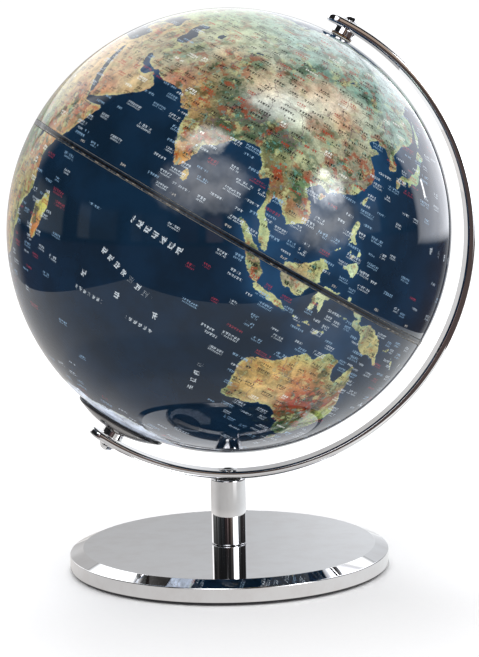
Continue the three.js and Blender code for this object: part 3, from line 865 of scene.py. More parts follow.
# Outlines as longitude and latitude in degrees, each closed on itself.
LANDS = {
    "africa": [
        (-6, 35.8), (0, 35.8), (10, 37.2), (11, 33.5), (15, 32.3), (20, 31), (20, 32.5), (25, 31.6),
        (32.3, 31.2), (34, 27.8), (35.5, 24), (37, 21), (38.5, 18), (41, 15), (43.2, 12), (43.4, 11.4),
        (47, 11.2), (51.2, 11.9), (49, 8), (46, 3), (42, -1), (39.5, -5), (40.5, -10.5), (40.6, -15),
        (36.5, -18.5), (35, -20.5), (35.5, -24), (32.8, -26), (31.5, -29.5), (27, -33.6), (20, -34.8),
        (18.3, -33), (15.3, -27), (14.3, -22), (11.8, -17), (13.5, -11), (12, -5), (9, -1), (9.5, 4),
        (6, 4.3), (2, 6.3), (-4, 5.2), (-8, 4.4), (-13, 8.5), (-16.8, 12.5), (-17.3, 14.8),
        (-16.3, 19.5), (-17, 21.5), (-13, 27.7), (-9.7, 30), (-9.2, 32.6),
    ],
    "eurasia": [
        (32.5, 30), (34.2, 27.8), (34.9, 29.4), (36.5, 26), (38.5, 22.5), (39.8, 20), (42.5, 16.5),
        (43.3, 12.8), (45, 12.9), (49, 14.3), (52.3, 16), (55.2, 17.8), (57.8, 19.4), (59.8, 22.5),
        (58.5, 23.8), (56.6, 24.6), (56.3, 26.3), (54.2, 24.2), (51.6, 24.2), (51.4, 26), (50.2, 26.4),
        (48.8, 28.3), (48, 30), (50, 30.1), (51.2, 27.8), (54.5, 26.5), (57, 27), (58.5, 25.6),
        (61.7, 25.1), (66.5, 25.3), (68.2, 23.6), (69, 22.3), (70.5, 20.8), (72.4, 21.5), (72.8, 19),
        (73.6, 15.8), (74.8, 12.8), (76.4, 9.6), (77.5, 8.1), (78.2, 8.9), (79.4, 10.3), (80.1, 13),
        (80.2, 15.6), (82.3, 16.6), (85, 19.5), (87, 21.5), (88.5, 21.7), (90.7, 22.2), (91.9, 22.3),
        (92.4, 20.6), (94.3, 18.6), (94.3, 16), (95.4, 15.7), (97, 17.2), (97.7, 15), (98.6, 12),
        (98.4, 9.5), (98.3, 7.9), (100.1, 6.4), (100.6, 4.5), (101.4, 2.8), (103.5, 1.3), (104.2, 1.4),
        (103.4, 3.8), (103.1, 5.5), (101.6, 6.9), (100.4, 8.4), (99.3, 9.6), (99.6, 11.6),
        (100.1, 13.4), (101, 13.3), (102.6, 12.1), (103.6, 10.6), (105, 10.1), (104.8, 8.7),
        (106.6, 10.2), (109.2, 11.8), (109.3, 13.6), (108.4, 15.9), (106.4, 17.9), (105.8, 19.4),
        (106.8, 20.6), (108.3, 21.6), (109.9, 21.4), (110.3, 20.4), (111.6, 21.5), (114.1, 22.3),
        (116.7, 23.3), (118.5, 24.7), (119.7, 26.3), (121.6, 28.6), (122, 30.1), (121.8, 31.8),
        (120.4, 33.6), (119.3, 35), (120.8, 36.5), (122.5, 37.2), (120.8, 37.8), (119, 37.3),
        (117.8, 38.8), (119.6, 39.8), (121.6, 40.8), (121.3, 39), (122.2, 39.6), (124.4, 40),
        (125.2, 38.6), (126.6, 37.3), (126.3, 35), (127.5, 34.6), (129.3, 35.4), (129.4, 37.2),
        (127.6, 39.4), (129.8, 41.4), (132, 43.2), (135.5, 44.5), (138.5, 46.8), (140.5, 50),
        (140.8, 53), (137.5, 54), (137, 54.6), (142, 59.2), (148, 59.4), (155, 59.4), (160, 61),
        (163.5, 62.4), (162, 58), (158, 57.8), (156, 54.5), (156.7, 51), (160, 53.5), (162.3, 56),
        (163.5, 59), (170, 60), (177, 62.5), (179.5, 65), (190, 65.8), (181, 68.8), (175, 69.8),
        (170.5, 69.8), (160, 69.7), (152, 71), (140, 72.6), (129, 71.5), (126, 73.4), (113, 73.8),
        (104, 77.7), (98, 76), (87, 75), (81, 73), (80.5, 72), (75, 71.5), (72.5, 71), (68, 68.3),
        (60, 69.5), (54, 68.5), (46, 68), (44, 66.2), (40.5, 64.6), (38, 64.2), (35, 64.5),
        (34, 66.6), (41, 66.6), (40, 67.8), (33, 69.3), (28, 71), (20, 70), (14.5, 67.5), (10.5, 64),
        (5.2, 61.5), (6, 58.2), (10.4, 59.2), (11.8, 57.5), (12.8, 55.5), (16, 56.5), (17.2, 58.8),
        (18.8, 60.2), (17.4, 62.3), (21.5, 65), (25.2, 65.3), (21.4, 62.8), (22, 60.3), (29.8, 60),
        (23.6, 58.8), (24, 57.2), (21.2, 57), (20, 54.6), (14, 54), (11, 54.2), (10.3, 57.4),
        (8.2, 56.8), (8.6, 53.8), (4.5, 52.8), (1.8, 50.8), (-1.6, 49.6), (-4.7, 48.4), (-1.3, 46),
        (-1.6, 43.4), (-9.2, 43.1), (-9.4, 38.8), (-8.8, 37), (-6.2, 36.6), (-5.4, 36.1),
        (-2.1, 36.8), (0, 38.8), (0.5, 40.6), (3.2, 42), (4.5, 43.4), (8.8, 44.4), (11, 42.4),
        (15.6, 40), (16, 38), (18.4, 40), (15.6, 41.9), (12.4, 44.6), (13.6, 45.6), (19.3, 42),
        (19.4, 40.4), (21.5, 37.8), (23, 36.5), (24, 38), (22.8, 40.4), (26, 40.8), (29, 41.2),
        (27.9, 43), (30.6, 45.8), (33.4, 46), (33, 44.6), (36, 45.2), (39, 47), (37.8, 44.7),
        (41.4, 42.4), (41.3, 41.2), (36, 41.6), (31.5, 41.2), (29, 41), (26.2, 39.6), (27.4, 37),
        (30.6, 36.7), (34, 36.2), (36, 36.6), (35, 33), (34.2, 31.4), (32.5, 31.2),
    ],
    "sumatra": [
        (95.3, 5.6), (97.5, 5.2), (98.7, 3.8), (100.4, 2.3), (103, 0.6), (103.7, -1), (106, -3),
        (105.8, -5.8), (104.5, -5.8), (102.3, -4), (100.4, -1.2), (98.8, 1.6), (97, 3.4),
    ],
    "java": [
        (105.2, -6.8), (106, -5.9), (108.5, -6.6), (110.5, -6.4), (112.7, -6.9), (114.4, -7.8),
        (115.6, -8.4), (114.4, -8.7), (110, -8.1), (106.5, -7.4),
    ],
    "sumbawa": [(116.3, -8.3), (119, -8.3), (118, -9)],
    "flores": [(119.9, -8.4), (122.9, -8.1), (122.7, -8.8), (120.2, -8.9)],
    "timor": [(123.6, -10.3), (125, -8.7), (127.2, -8.4), (125.2, -9.6), (124, -10.4)],
    "sumba": [(119, -9.5), (120.8, -10), (120, -10.4)],
    "borneo": [
        (109, 1.5), (109.7, 2), (111.3, 2.4), (113, 3.2), (115.2, 5.3), (116.8, 7), (119.1, 5.3),
        (117.9, 4.1), (118, 2.2), (119, 1), (117.5, 0.6), (116.5, -1.6), (116.2, -3.9), (114.6, -4.1),
        (113, -3.2), (111.5, -3.5), (110.1, -2.6), (109.1, -0.3),
    ],
    "sulawesi": [
        (119.8, 0.2), (120.3, 1.3), (123.5, 0.9), (125, 1.6), (124.3, 0.4), (120.6, 0.5),
        (120.1, -0.8), (121.4, -0.9), (123.4, -0.8), (121.8, -1.8), (122.5, -3.3), (122.6, -5.2),
        (121.5, -4.7), (121, -2.8), (120.4, -3.2), (120.4, -5.6), (119.5, -5.5), (119.4, -3.4),
        (118.8, -2.7),
    ],
    "halmahera": [(127.5, 1), (128, 2.2), (128.6, 0.9), (128, -0.6), (127.8, 0.4)],
    "seram": [(128, -3.2), (130.6, -3), (130.4, -3.7), (128.2, -3.5)],
    "new_guinea": [
        (131, -0.8), (132.7, -0.4), (134.1, -0.9), (134.6, -2.8), (135.8, -3.3), (138, -1.6),
        (141, -2.6), (144.6, -3.9), (147.2, -6.2), (147.8, -8), (150.8, -10.3), (149.8, -10.6),
        (146.8, -9), (143.6, -8.5), (142.4, -9.2), (139.3, -8.1), (138.2, -7), (137.8, -5.3),
        (134.9, -4.2), (133, -4.1), (132.4, -2.9), (133.6, -2.3), (132, -1.6),
    ],
    "new_britain": [(148.4, -5.7), (150.2, -5.4), (152.2, -4.2), (151.8, -5.4), (149.8, -6.3)],
    "solomons": [(155, -6), (156.8, -7.2), (160.6, -9.2), (160, -9.6), (156.4, -7.6)],
    "luzon": [
        (120.4, 16), (120.6, 18.5), (122.2, 18.4), (121.6, 16), (122.2, 14.2), (124.1, 12.8),
        (122.6, 13.4), (121, 13.7), (120.3, 14.7),
    ],
    "mindoro": [(120.4, 13.4), (121.4, 13.2), (121.1, 12.3)],
    "panay": [(121.9, 11.9), (123.1, 11.5), (122, 10.4)],
    "negros": [(122.5, 9.9), (123.3, 10.9), (124, 11.2), (123.2, 9.1)],
    "samar": [(124.3, 12.5), (125.6, 12), (125, 10.2), (124.5, 11.2)],
    "mindanao": [(122, 7), (123.6, 8.6), (125.5, 9.8), (126.5, 7.4), (125.4, 5.7), (124, 6.8)],
    "palawan": [(117.2, 8.4), (119.5, 11.3), (119.3, 10.3), (117.6, 8.3)],
    "taiwan": [(120.1, 23), (121, 25), (121.9, 25), (121, 22)],
    "hainan": [(108.7, 19.3), (109.6, 20), (110.9, 20), (110.3, 18.7), (109.2, 18.3)],
    "kyushu": [(129.8, 33), (131, 33.9), (132, 32.9), (131.2, 31.3), (130.2, 31.3)],
    "shikoku": [(132.2, 33.4), (133.6, 34.3), (134.7, 34), (133, 32.8)],
    "honshu": [
        (131, 34.2), (133, 35.5), (136, 35.7), (136.8, 37.3), (138.8, 37.9), (139.9, 39.6),
        (140.3, 41.2), (141.4, 41.3), (142, 39.5), (140.9, 38), (140.8, 35.7), (139.2, 35.1),
        (137, 34.6), (135.8, 33.5), (135.1, 34.6), (132.5, 34.1),
    ],
    "hokkaido": [
        (140, 41.6), (140.4, 43.2), (141.7, 45.4), (143, 44.4), (145.3, 43.8), (143.3, 42), (141, 42.5),
    ],
    "sakhalin": [
        (142, 46), (142, 49), (142.2, 53.5), (143, 54.2), (143.3, 52.3), (144.3, 49), (142.8, 47.2),
        (143.4, 46.2),
    ],
    "ceylon": [(79.8, 8.2), (80.3, 9.7), (81.8, 7.4), (81, 6), (80, 6.2)],
    "madagascar": [
        (49.3, -12.1), (50.4, -15.8), (49.4, -18), (47.1, -25), (45.4, -25.5), (43.5, -23),
        (44.4, -20), (44.3, -16.3), (46.3, -15.7), (48, -13.5),
    ],
    "australia": [
        (114.1, -21.9), (113.6, -24.5), (114.2, -27.8), (115, -30), (115.7, -32), (115.1, -34.3),
        (118, -35), (120, -33.9), (123.6, -33.9), (126.2, -32.3), (129, -31.6), (131.2, -31.5),
        (134.2, -32.8), (135.6, -34.9), (137.2, -33.6), (137, -35.2), (138.5, -34.6), (139.6, -36.5),
        (140.6, -38), (143.5, -38.8), (146.4, -39), (149.9, -37.5), (151, -34.2), (152.9, -31.4),
        (153.5, -28.2), (152.9, -25.2), (150.8, -23.3), (149.2, -21.2), (146.6, -19), (145.4, -15),
        (143.6, -14.2), (142.5, -10.7), (141.6, -13), (140.9, -17.4), (139.5, -17.5), (136.8, -15.6),
        (136.6, -12.1), (135, -12.1), (132.6, -11.4), (130.6, -12.6), (129.6, -14.9), (128, -14.8),
        (126.3, -13.9), (124, -16.4), (122.3, -17.2), (122.2, -18.2), (119.5, -20), (117, -20.7),
    ],
    "tasmania": [(144.7, -40.8), (148.3, -40.9), (147.9, -43.2), (146, -43.5)],
    "north_new_zealand": [
        (172.8, -34.5), (175.5, -36.6), (178.4, -37.7), (176.9, -39.8), (175.2, -41.6), (175, -40),
        (173.8, -39.3), (174.7, -37.5),
    ],
    "south_new_zealand": [
        (172.7, -40.6), (174.2, -41.7), (172.8, -43.6), (170.8, -45.9), (168.6, -46.6),
        (166.6, -45.9), (170.4, -43),
    ],
    "new_caledonia": [(164, -20.2), (167, -22), (166.6, -22.4), (164.2, -20.8)],
    "greenland": [
        (-45, 60), (-40, 64.5), (-24, 70), (-19, 75), (-17, 80), (-30, 83.3), (-60, 82), (-72, 78.3),
        (-60, 76), (-54, 70.5), (-52, 66),
    ],
    "iceland": [(-24, 65.5), (-21, 66.3), (-14.7, 66.2), (-14, 64.6), (-19, 63.4), (-22.6, 63.9)],
    "britain": [
        (-5.5, 50.1), (1.3, 51.2), (1.6, 52.8), (-1.6, 55.4), (-2, 57.5), (-3.2, 58.6), (-5.8, 57.8),
        (-5, 55), (-3, 53.8), (-5, 51.8),
    ],
    "ireland": [(-10, 51.6), (-6.3, 52.2), (-6, 55), (-10, 54)],
    "novaya_zemlya": [(52, 71), (55.5, 73.4), (61, 75.8), (68.5, 76.9), (60, 74.5), (57.4, 71)],
    "svalbard": [(11, 79), (20, 80.4), (26, 80), (17, 76.8)],
    "severnaya": [(96, 79.5), (102, 79.8), (104, 78.6), (98, 78.4)],
    "new_siberia": [(138, 75.5), (148, 75.3), (143, 73.6)],
    "north_america": [
        (-168, 65.6), (-162, 66.5), (-166.5, 68.5), (-156.5, 71.3), (-141, 69.7), (-128, 70.2),
        (-115, 68), (-98, 68), (-94, 71.8), (-91, 69.5), (-86, 68.5), (-81.5, 69), (-82, 67),
        (-87, 64.5), (-94.5, 60), (-92.5, 57), (-82.3, 55.2), (-79.5, 51.5), (-76.5, 56.5),
        (-78, 62.3), (-70, 61), (-65, 60), (-61.5, 57), (-55.8, 53), (-60, 50.2), (-66.5, 50.2),
        (-65, 48.5), (-61, 45.6), (-66, 43.7), (-70, 43.6), (-70.4, 41.7), (-74, 40.6), (-75.8, 36.8),
        (-77.5, 34), (-81.3, 31.5), (-80.2, 26), (-81.2, 25.3), (-82.8, 28.6), (-84.3, 30),
        (-89.4, 29.2), (-94.5, 29.4), (-97.4, 27), (-97.6, 22.5), (-95.8, 18.8), (-91.5, 18.6),
        (-90.4, 21), (-87, 21.3), (-88.3, 16), (-83.4, 15), (-83.6, 11), (-81.6, 9), (-79.6, 9.5),
        (-77.4, 8.5), (-78.4, 7.8), (-80.4, 7.4), (-83.6, 8.6), (-85.8, 10.6), (-87.6, 13),
        (-94, 16.1), (-97, 15.8), (-105.4, 20.2), (-109.4, 25.8), (-112.8, 30), (-114.6, 31.6),
        (-112.6, 27.6), (-109.7, 23), (-112, 25.4), (-115, 29.5), (-117.3, 33), (-120.6, 34.6),
        (-124.2, 40.4), (-124.6, 48.2), (-128, 51.4), (-133, 56), (-139.5, 59.7), (-148, 60),
        (-152, 59.2), (-158, 56.6), (-164.5, 54.7), (-158.5, 58.6), (-162, 59.5), (-166, 61.6),
        (-161, 64.4),
    ],
    "baffin": [
        (-80.5, 73.7), (-73, 71.6), (-62, 66.8), (-66, 62), (-73, 64.4), (-77.6, 65.3), (-73, 68.2),
        (-89, 71),
    ],
    "victoria": [(-117, 69.9), (-105, 69), (-101.5, 70), (-105, 73), (-117.5, 73)],
    "ellesmere": [(-89, 76.5), (-80, 76.3), (-74, 79.4), (-62, 82.4), (-84, 82.2), (-92, 80.5)],
    "banks": [(-125, 72), (-119, 71.5), (-117.5, 74), (-124.5, 74.2)],
    "newfoundland": [(-59.3, 47.7), (-55.8, 51.6), (-52.8, 48.2), (-54, 46.8)],
    "cuba": [(-84.8, 21.9), (-82, 23.2), (-77, 21.8), (-74.2, 20.2), (-77.6, 19.9), (-78, 20.8)],
    "hispaniola": [(-74.4, 18.4), (-73, 19.9), (-68.5, 18.6), (-71.5, 17.7)],
    "south_america": [
        (-77.4, 8.5), (-75.6, 10.8), (-71.6, 12.4), (-71.4, 11), (-68, 11.5), (-62, 10.7), (-57.5, 6),
        (-51.5, 4.2), (-50, 0), (-44, -2.6), (-38.5, -3.8), (-35, -6), (-35, -9), (-39, -13.5),
        (-39.2, -18.5), (-41.5, -22.6), (-48.2, -25.8), (-50, -30), (-54, -34.5), (-58.4, -34),
        (-57, -37.8), (-62.2, -39), (-65, -41.5), (-65.5, -45), (-67.6, -49), (-69, -52.4),
        (-65.5, -54.8), (-71, -54.8), (-75, -51), (-75, -46.5), (-73.2, -41), (-73.4, -37.2),
        (-71.5, -32), (-70.4, -25), (-70.3, -18.4), (-76.2, -13.8), (-81.3, -6), (-80.2, -3),
        (-80.8, -1), (-78, 2.5), (-77.4, 7),
    ],
    "antarctica": [
        (-180, -78), (-150, -77), (-125, -73.5), (-100, -73), (-75, -72), (-62, -64.5), (-58, -63.5),
        (-62, -70), (-60, -75), (-40, -78), (-25, -75), (-5, -70.5), (20, -70), (45, -67.8),
        (60, -67), (70, -69), (80, -67.5), (100, -66), (120, -66.8), (145, -67.5), (165, -71),
        (170, -77), (180, -78), (180, -90), (-180, -90),
    ],
}

WATERS = {
    "caspian": [
        (47.5, 45.5), (51.2, 46.9), (53, 45.2), (50.3, 44.4), (51.2, 43), (52.7, 42.3), (53.8, 40.8),
        (53.9, 37), (51, 36.7), (49, 37.6), (49.4, 40.3), (47.7, 43),
    ],
    "aral": [(58.6, 45.6), (61, 46.5), (61.4, 44.5), (59, 43.8)],
    "baikal": [
        (103.8, 51.6), (106, 52.6), (108.8, 54.3), (109.8, 55.7), (109.3, 55.6), (106.8, 53.6),
        (104.5, 52),
    ],
    "balkhash": [(73.8, 45.6), (75, 46.7), (79, 46.8), (75.5, 46.1)],
    "victoria_lake": [(31.8, -2.5), (31.8, -0.3), (34, 0.2), (34, -1.8)],
    "superior": [(-92, 46.8), (-88, 48.8), (-84.6, 46.6), (-88, 46.8)],
    "michigan": [(-87.8, 42), (-87.6, 45), (-85, 45.8), (-86.4, 42.4)],
    "huron": [(-83.6, 45.8), (-80, 45.4), (-82, 43.2)],
    "ob_gulf": [(72.6, 71.6), (74.4, 71.6), (73.6, 67.2), (72.2, 66.6)],
}


def as_printed(outline, name):
    """The outline moved to where the print has it."""
    lowered = AUSTRALIA_DROP if name == "australia" else 0.0
    widening = 0.0 if name == "antarctica" else PRINT_WIDENING
    moved = []
    for longitude, latitude in outline:
        shift = widening * math.sin(math.radians(2 * (longitude - PRINT_MIDDLE)))
        moved.append((longitude + shift, latitude - lowered))
    return moved


def to_units(longitudes, latitudes):
    """Unit vectors in the polar frame."""
    turn = np.radians(np.asarray(longitudes, float) - MAP_TURN)
    rise = np.radians(np.asarray(latitudes, float))
    return np.stack([np.cos(rise) * np.cos(turn), np.cos(rise) * np.sin(turn), np.sin(rise)], -1)


def inside(outline, longitudes, latitudes):
    """Even-odd test of the points against one closed outline, on both turns of the map."""
    result = np.zeros(longitudes.shape, bool)
    for turn in (0.0, 360.0):
        crossed = np.zeros(longitudes.shape, bool)
        for (x0, y0), (x1, y1) in zip(outline, outline[1:] + outline[:1]):
            if y0 == y1:
                continue
            spans = (latitudes < max(y0, y1)) & (latitudes >= min(y0, y1))
            crossing = x0 + (latitudes - y0) * (x1 - x0) / (y1 - y0)
            crossed ^= spans & (longitudes + turn < crossing)
        result |= crossed
    return result


def softened(outline):
    """Rounds the corners of an outline by cutting each one a little, like a drawn coast."""
    near, far = 1 - COAST_SOFTENING, COAST_SOFTENING
    result = []
    for (x0, y0), (x1, y1) in zip(outline, outline[1:] + outline[:1]):
        result.append((x0 * near + x1 * far, y0 * near + y1 * far))
        result.append((x0 * far + x1 * near, y0 * far + y1 * near))
    return result


def is_map_edge(start, end):
    """The antarctic outline runs round the foot and the sides of a flat map, which is no coast."""
    return min(start[1], end[1]) <= -90


def coast_distance(units, longitudes, latitudes):
    """Distance to the nearest coast in millimetres, positive on land."""
    nearest = np.full(longitudes.shape, FAR_AWAY)
    land = np.zeros(longitudes.shape, bool)
    for outlines, is_land in ((LANDS, True), (WATERS, False)):
        for name, outline in outlines.items():
            drawn = as_printed(outline, name)
            fine = drawn if name == "antarctica" else softened(drawn)
            land = np.where(inside(fine, longitudes, latitudes), is_land, land)
            ends = to_units(*zip(*fine))
            middle = ends.mean(0)
            middle /= np.linalg.norm(middle)
            spread = np.degrees(np.arccos(np.clip((ends @ middle).min(), -1, 1)))
            margin = math.cos(math.radians(min(180.0, spread + COAST_SEARCH_DEGREES)))
            near = (units @ middle) >= margin
            some = units[near]
            closest = nearest[near]
            edges = zip(ends, np.roll(ends, -1, 0), fine, fine[1:] + fine[:1])
            for a, b, start, end in edges:
                if is_map_edge(start, end):
                    continue
                along = b - a
                share = np.clip((some - a) @ along / max(along @ along, 1e-12), 0, 1)
                apart = np.linalg.norm(some - a - share[:, None] * along, axis=1)
                closest = np.minimum(closest, apart)
            nearest[near] = closest
    nearest = np.minimum(nearest * GLOBE_RADIUS, COAST_LIMIT)
    return np.where(land, nearest, -nearest)


# ---- The map: colours ----

# Longitude, latitude, spread in degrees, colour, and how much the ground is broken up.
GROUNDS = [
    (46, 24, 8, "cbaa7a", 0.6), (50, 20, 6, "cdb07c", 0.5), (43, 16, 4, "b8764a", 0.7),
    (44, 32, 6, "ada078", 0.7), (54, 32, 7, "aaa582", 0.8), (64, 33, 6, "a99c7c", 0.9),
    (60, 40, 7, "b5b28e", 0.7), (69, 29, 4, "b98f55", 0.9), (74, 29, 4, "4e5a3c", 0.8),
    (72, 25, 4, "b8925a", 0.8), (78, 24, 5, "5a5738", 0.9), (82, 24, 4, "4c5636", 0.9),
    (77, 17, 4, "7d5f38", 1.0), (77, 12, 4, "b98345", 1.0), (86, 26, 4, "56613f", 0.9),
    (92, 26, 4, "4b5a38", 0.9), (81, 8, 3, "c9a24c", 0.9), (73, 35, 4, "8f8a62", 0.9),
    (85, 33, 8, "e4e7d2", 0.3), (92, 36, 8, "e4e6ce", 0.3), (83, 39, 5, "e6c088", 0.4),
    (88, 44, 6, "b4b498", 0.8), (100, 38, 7, "dfddbc", 0.4), (98, 44, 6, "e0c7a2", 0.5),
    (106, 45, 5, "e8ceae", 0.3), (115, 45, 6, "d6cba8", 0.6), (72, 47, 9, "b9ba98", 0.7),
    (60, 50, 9, "b9bd8b", 0.7), (103, 31, 5, "d6d8ac", 0.5), (108, 35, 6, "d0c898", 0.6),
    (115, 35, 5, "a59b78", 0.9), (117, 31, 4, "8f8568", 1.0), (112, 29, 4, "857b62", 1.0),
    (115, 26, 4, "97967c", 1.0), (110, 24, 4, "a6a984", 1.0), (102, 25, 4, "b3b380", 0.8),
    (120, 42, 5, "a3ad90", 0.9), (127, 45, 6, "869c86", 0.9), (127, 38, 4, "62604a", 1.0),
    (130, 50, 7, "7f9c86", 0.8), (97, 22, 4, "6b6a40", 1.0), (99, 18, 4, "765a3a", 1.0),
    (102, 15, 4, "8a7048", 1.0), (105, 18, 3, "5f8456", 1.0), (106, 13, 4, "9a4a34", 1.0),
    (107, 10, 3, "b9bf78", 0.8), (101, 5, 4, "b9c48a", 0.8), (99, 8, 3, "a6b87c", 0.8),
    (100, 1, 5, "8c8a5a", 1.0), (104, -3, 4, "8a6a52", 1.0), (110, -7, 5, "bcbd80", 0.9),
    (112, 2, 4, "9c9c78", 1.0), (115, 3, 3, "b8945e", 1.0), (113, -2, 4, "a09074", 1.0),
    (117, 5, 3, "b9bc74", 1.0), (121, -2, 4, "c3c792", 0.9), (121, 16, 5, "c9cb8c", 0.9),
    (124, 9, 5, "c3cf9c", 0.9), (134, -3, 4, "b4bc90", 0.9), (139, -5, 4, "93946e", 1.0),
    (145, -7, 5, "b3a468", 1.0), (131, 33, 4, "b0684a", 1.0), (137, 36, 4, "87a06a", 1.0),
    (142, 42, 4, "7fae8e", 0.9), (143, 50, 4, "8fae86", 0.8),
    (117, -24, 4, "ad8a4e", 0.9), (121, -22, 5, "d0a758", 0.6), (124, -27, 5, "d3ab62", 0.6),
    (118, -29, 4, "c39d58", 0.7), (116, -33, 3, "5f7440", 0.9), (127, -17, 5, "bb9c54", 0.8),
    (131, -14, 4, "9aa468", 0.8), (129, -22, 5, "d3ac68", 0.7), (135, -22, 4, "cf8f56", 0.9),
    (137, -28, 4, "b24c34", 0.9), (129, -30, 4, "d8b878", 0.5), (142, -25, 5, "b04430", 1.0),
    (139, -19, 4, "8f7a48", 0.9), (144, -19, 3, "a8a064", 0.9), (148, -23, 3, "8a5a3c", 0.9),
    (142, -31, 5, "5c4a2e", 1.0), (148, -33, 4, "53643a", 0.9), (143, -36, 4, "3f5230", 0.9),
    (152, -30, 3, "a3b05c", 0.8), (146, -42, 3, "4c6a48", 0.8), (173, -40, 6, "6f8f58", 0.8),
    (10, 24, 14, "dcbb7d", 0.4), (28, 22, 8, "d8b27a", 0.5), (0, 14, 9, "b89e5c", 0.7),
    (20, 12, 8, "b3a05a", 0.7), (38, 9, 5, "ae8058", 1.0), (46, 7, 5, "c49a66", 0.9),
    (40, 2, 5, "b98a5c", 0.9), (36, -6, 5, "a8703c", 1.0), (22, 0, 8, "4c6e3c", 0.9),
    (28, -14, 7, "a08a4c", 0.9), (20, -24, 6, "cfa25c", 0.7), (30, -27, 4, "8a8a4a", 0.9),
    (36, -16, 4, "94904c", 0.9), (47, -17, 3, "c3bb58", 0.9), (45, -22, 3, "b9743c", 1.0),
    (-5, 32, 5, "b9854c", 0.8), (-4, 40, 5, "b9a25c", 0.8), (5, 48, 6, "8fa566", 0.8),
    (22, 48, 8, "9fae6c", 0.7), (38, 56, 10, "93a878", 0.7), (16, 63, 6, "7e9a80", 0.8),
    (34, 39, 5, "c09a5c", 0.9), (44, 42, 4, "a68a54", 1.0), (60, 62, 9, "8faa8c", 0.7),
    (80, 60, 10, "8fae9a", 0.7), (76, 68, 8, "b6c6b8", 0.6), (100, 62, 10, "87a292", 0.8),
    (105, 56, 7, "a3ad86", 0.8), (120, 60, 9, "8cb09c", 0.8), (135, 66, 10, "b6c6ba", 0.7),
    (110, 72, 9, "cbd5cc", 0.5), (155, 66, 10, "9eb6a6", 0.7), (160, 56, 5, "88ac94", 0.8),
    (-40, 74, 16, "e3eaee", 0.2), (-150, 64, 8, "8aa88a", 0.8), (-120, 62, 10, "93ab84", 0.7),
    (-95, 64, 10, "a6b596", 0.6), (-75, 54, 9, "8aa678", 0.7), (-112, 45, 8, "c09a62", 0.9),
    (-98, 42, 7, "cfc183", 0.6), (-82, 38, 7, "86a160", 0.8), (-105, 28, 6, "cc9a58", 0.8),
    (-92, 17, 5, "7e9a50", 0.9), (-72, 5, 6, "7c9a4e", 0.9), (-62, -5, 10, "54793c", 0.8),
    (-45, -10, 7, "a3a552", 0.8), (-73, -12, 5, "b57f48", 1.0), (-68, -24, 5, "c09258", 0.9),
    (-55, -22, 6, "94a04c", 0.8), (-63, -36, 7, "c9bd78", 0.6), (-70, -46, 5, "b59a68", 0.8),
    (0, -82, 30, "e6edf1", 0.15), (90, -76, 25, "e2eaee", 0.15), (-90, -80, 25, "e4ebef", 0.15),
    (75, 33, 2.6, "4a5236", 1.0), (79, 30.5, 2.6, "3c4a2c", 1.0), (84, 28, 2.6, "3c482c", 1.0),
    (89, 27.5, 2.6, "3f4c30", 1.0), (94, 28, 2.8, "34462c", 1.0), (98, 26.5, 3, "3c4c30", 1.0),
    (100, 29, 2.6, "566448", 1.0), (78, 37, 2.6, "a3946c", 1.0), (87, 43, 2.8, "8c8c6c", 1.0),
    (94, 43, 2.6, "d0b086", 0.7), (90, 49, 3.2, "7f967a", 1.0), (98, 52, 3.6, "66907c", 1.0),
    (107, 52, 3.6, "7a9c84", 1.0), (118, 52, 4, "76a08a", 1.0), (107, 33, 2.4, "6c744c", 1.0),
    (103, 34.5, 2.2, "a06a48", 1.0), (110, 40, 2.6, "d2a67a", 0.7), (100, 47, 2.6, "d6b890", 0.7),
    (56, 36.5, 3, "777850", 1.0), (50, 35, 2.6, "7c7450", 1.0), (68, 36, 3, "7c6a48", 1.0),
    (67, 41, 3, "c9a87c", 0.8), (75, 42, 2.6, "5c7050", 1.0), (62, 28, 3, "b9785a", 0.9),
]

# Shallow seas: longitude, latitude, spread in degrees, strength.
SHELVES = [
    (105, 5, 6, 0.9), (110, -4, 5, 0.8), (113, 18, 5, 0.6), (122, 32, 6, 0.8), (124, 26, 5, 0.6),
    (135, -9, 6, 0.6), (125, -14, 5, 0.4), (133, 41, 6, 0.5), (122, 10, 6, 0.6), (127, 5, 6, 0.4),
    (140, 22, 8, 0.3), (130, 20, 7, 0.45), (94, 12, 5, 0.4), (88, 15, 6, 0.35), (52, 27, 3, 0.9),
    (145, 50, 8, 0.3), (150, 12, 12, 0.3), (66, 20, 5, 0.2), (0, 56, 8, 0.7), (-85, 24, 7, 0.3),
    (-60, -45, 8, 0.5), (40, 74, 14, 0.6), (100, 77, 14, 0.6), (-85, 60, 6, 0.6), (147, -24, 5, 0.4),
]

DEEP_SEA = srgb("102233")
OPEN_SEA = srgb("132a40")
SHELF_SEA = srgb("234566")

# Every ground colour is turned a little from yellow to blue by the printing ink.
LAND_CAST = (0.98, 1.04, 1.2)

# A patch fades out over a share of its spread. A small patch outweighs the broad ones it lies in.
GROUND_FADE = 0.62
EVEN_SPREAD = 5.0
SMALL_PATCH_POWER = 1.6

# Ground that no patch reaches takes a faint pull from all of them.
FAINT_PULL = 1e-7

# Shallow water: how far it runs out from a coast in millimetres, how strong it is there, how much of
# that is left where no bank lies, and how strong a bank is away from the coast.
SHORE_WIDTH = 5.0
SHORE_STRENGTH = 0.42
SHORE_ALONE = 0.35
BANK_STRENGTH = 0.75

# The studio light on the matt print is a little over 1, so the print is held back by this much.
PRINT_DENSITY = 0.82


def degrees_from(units, longitude, latitude):
    """Angle of each unit vector from one place on the map."""
    return np.degrees(np.arccos(np.clip(units @ to_units(longitude, latitude), -1, 1)))


def bell(distance):
    """1 at the middle, fading like a bell curve."""
    return np.exp(-0.5 * distance ** 2)


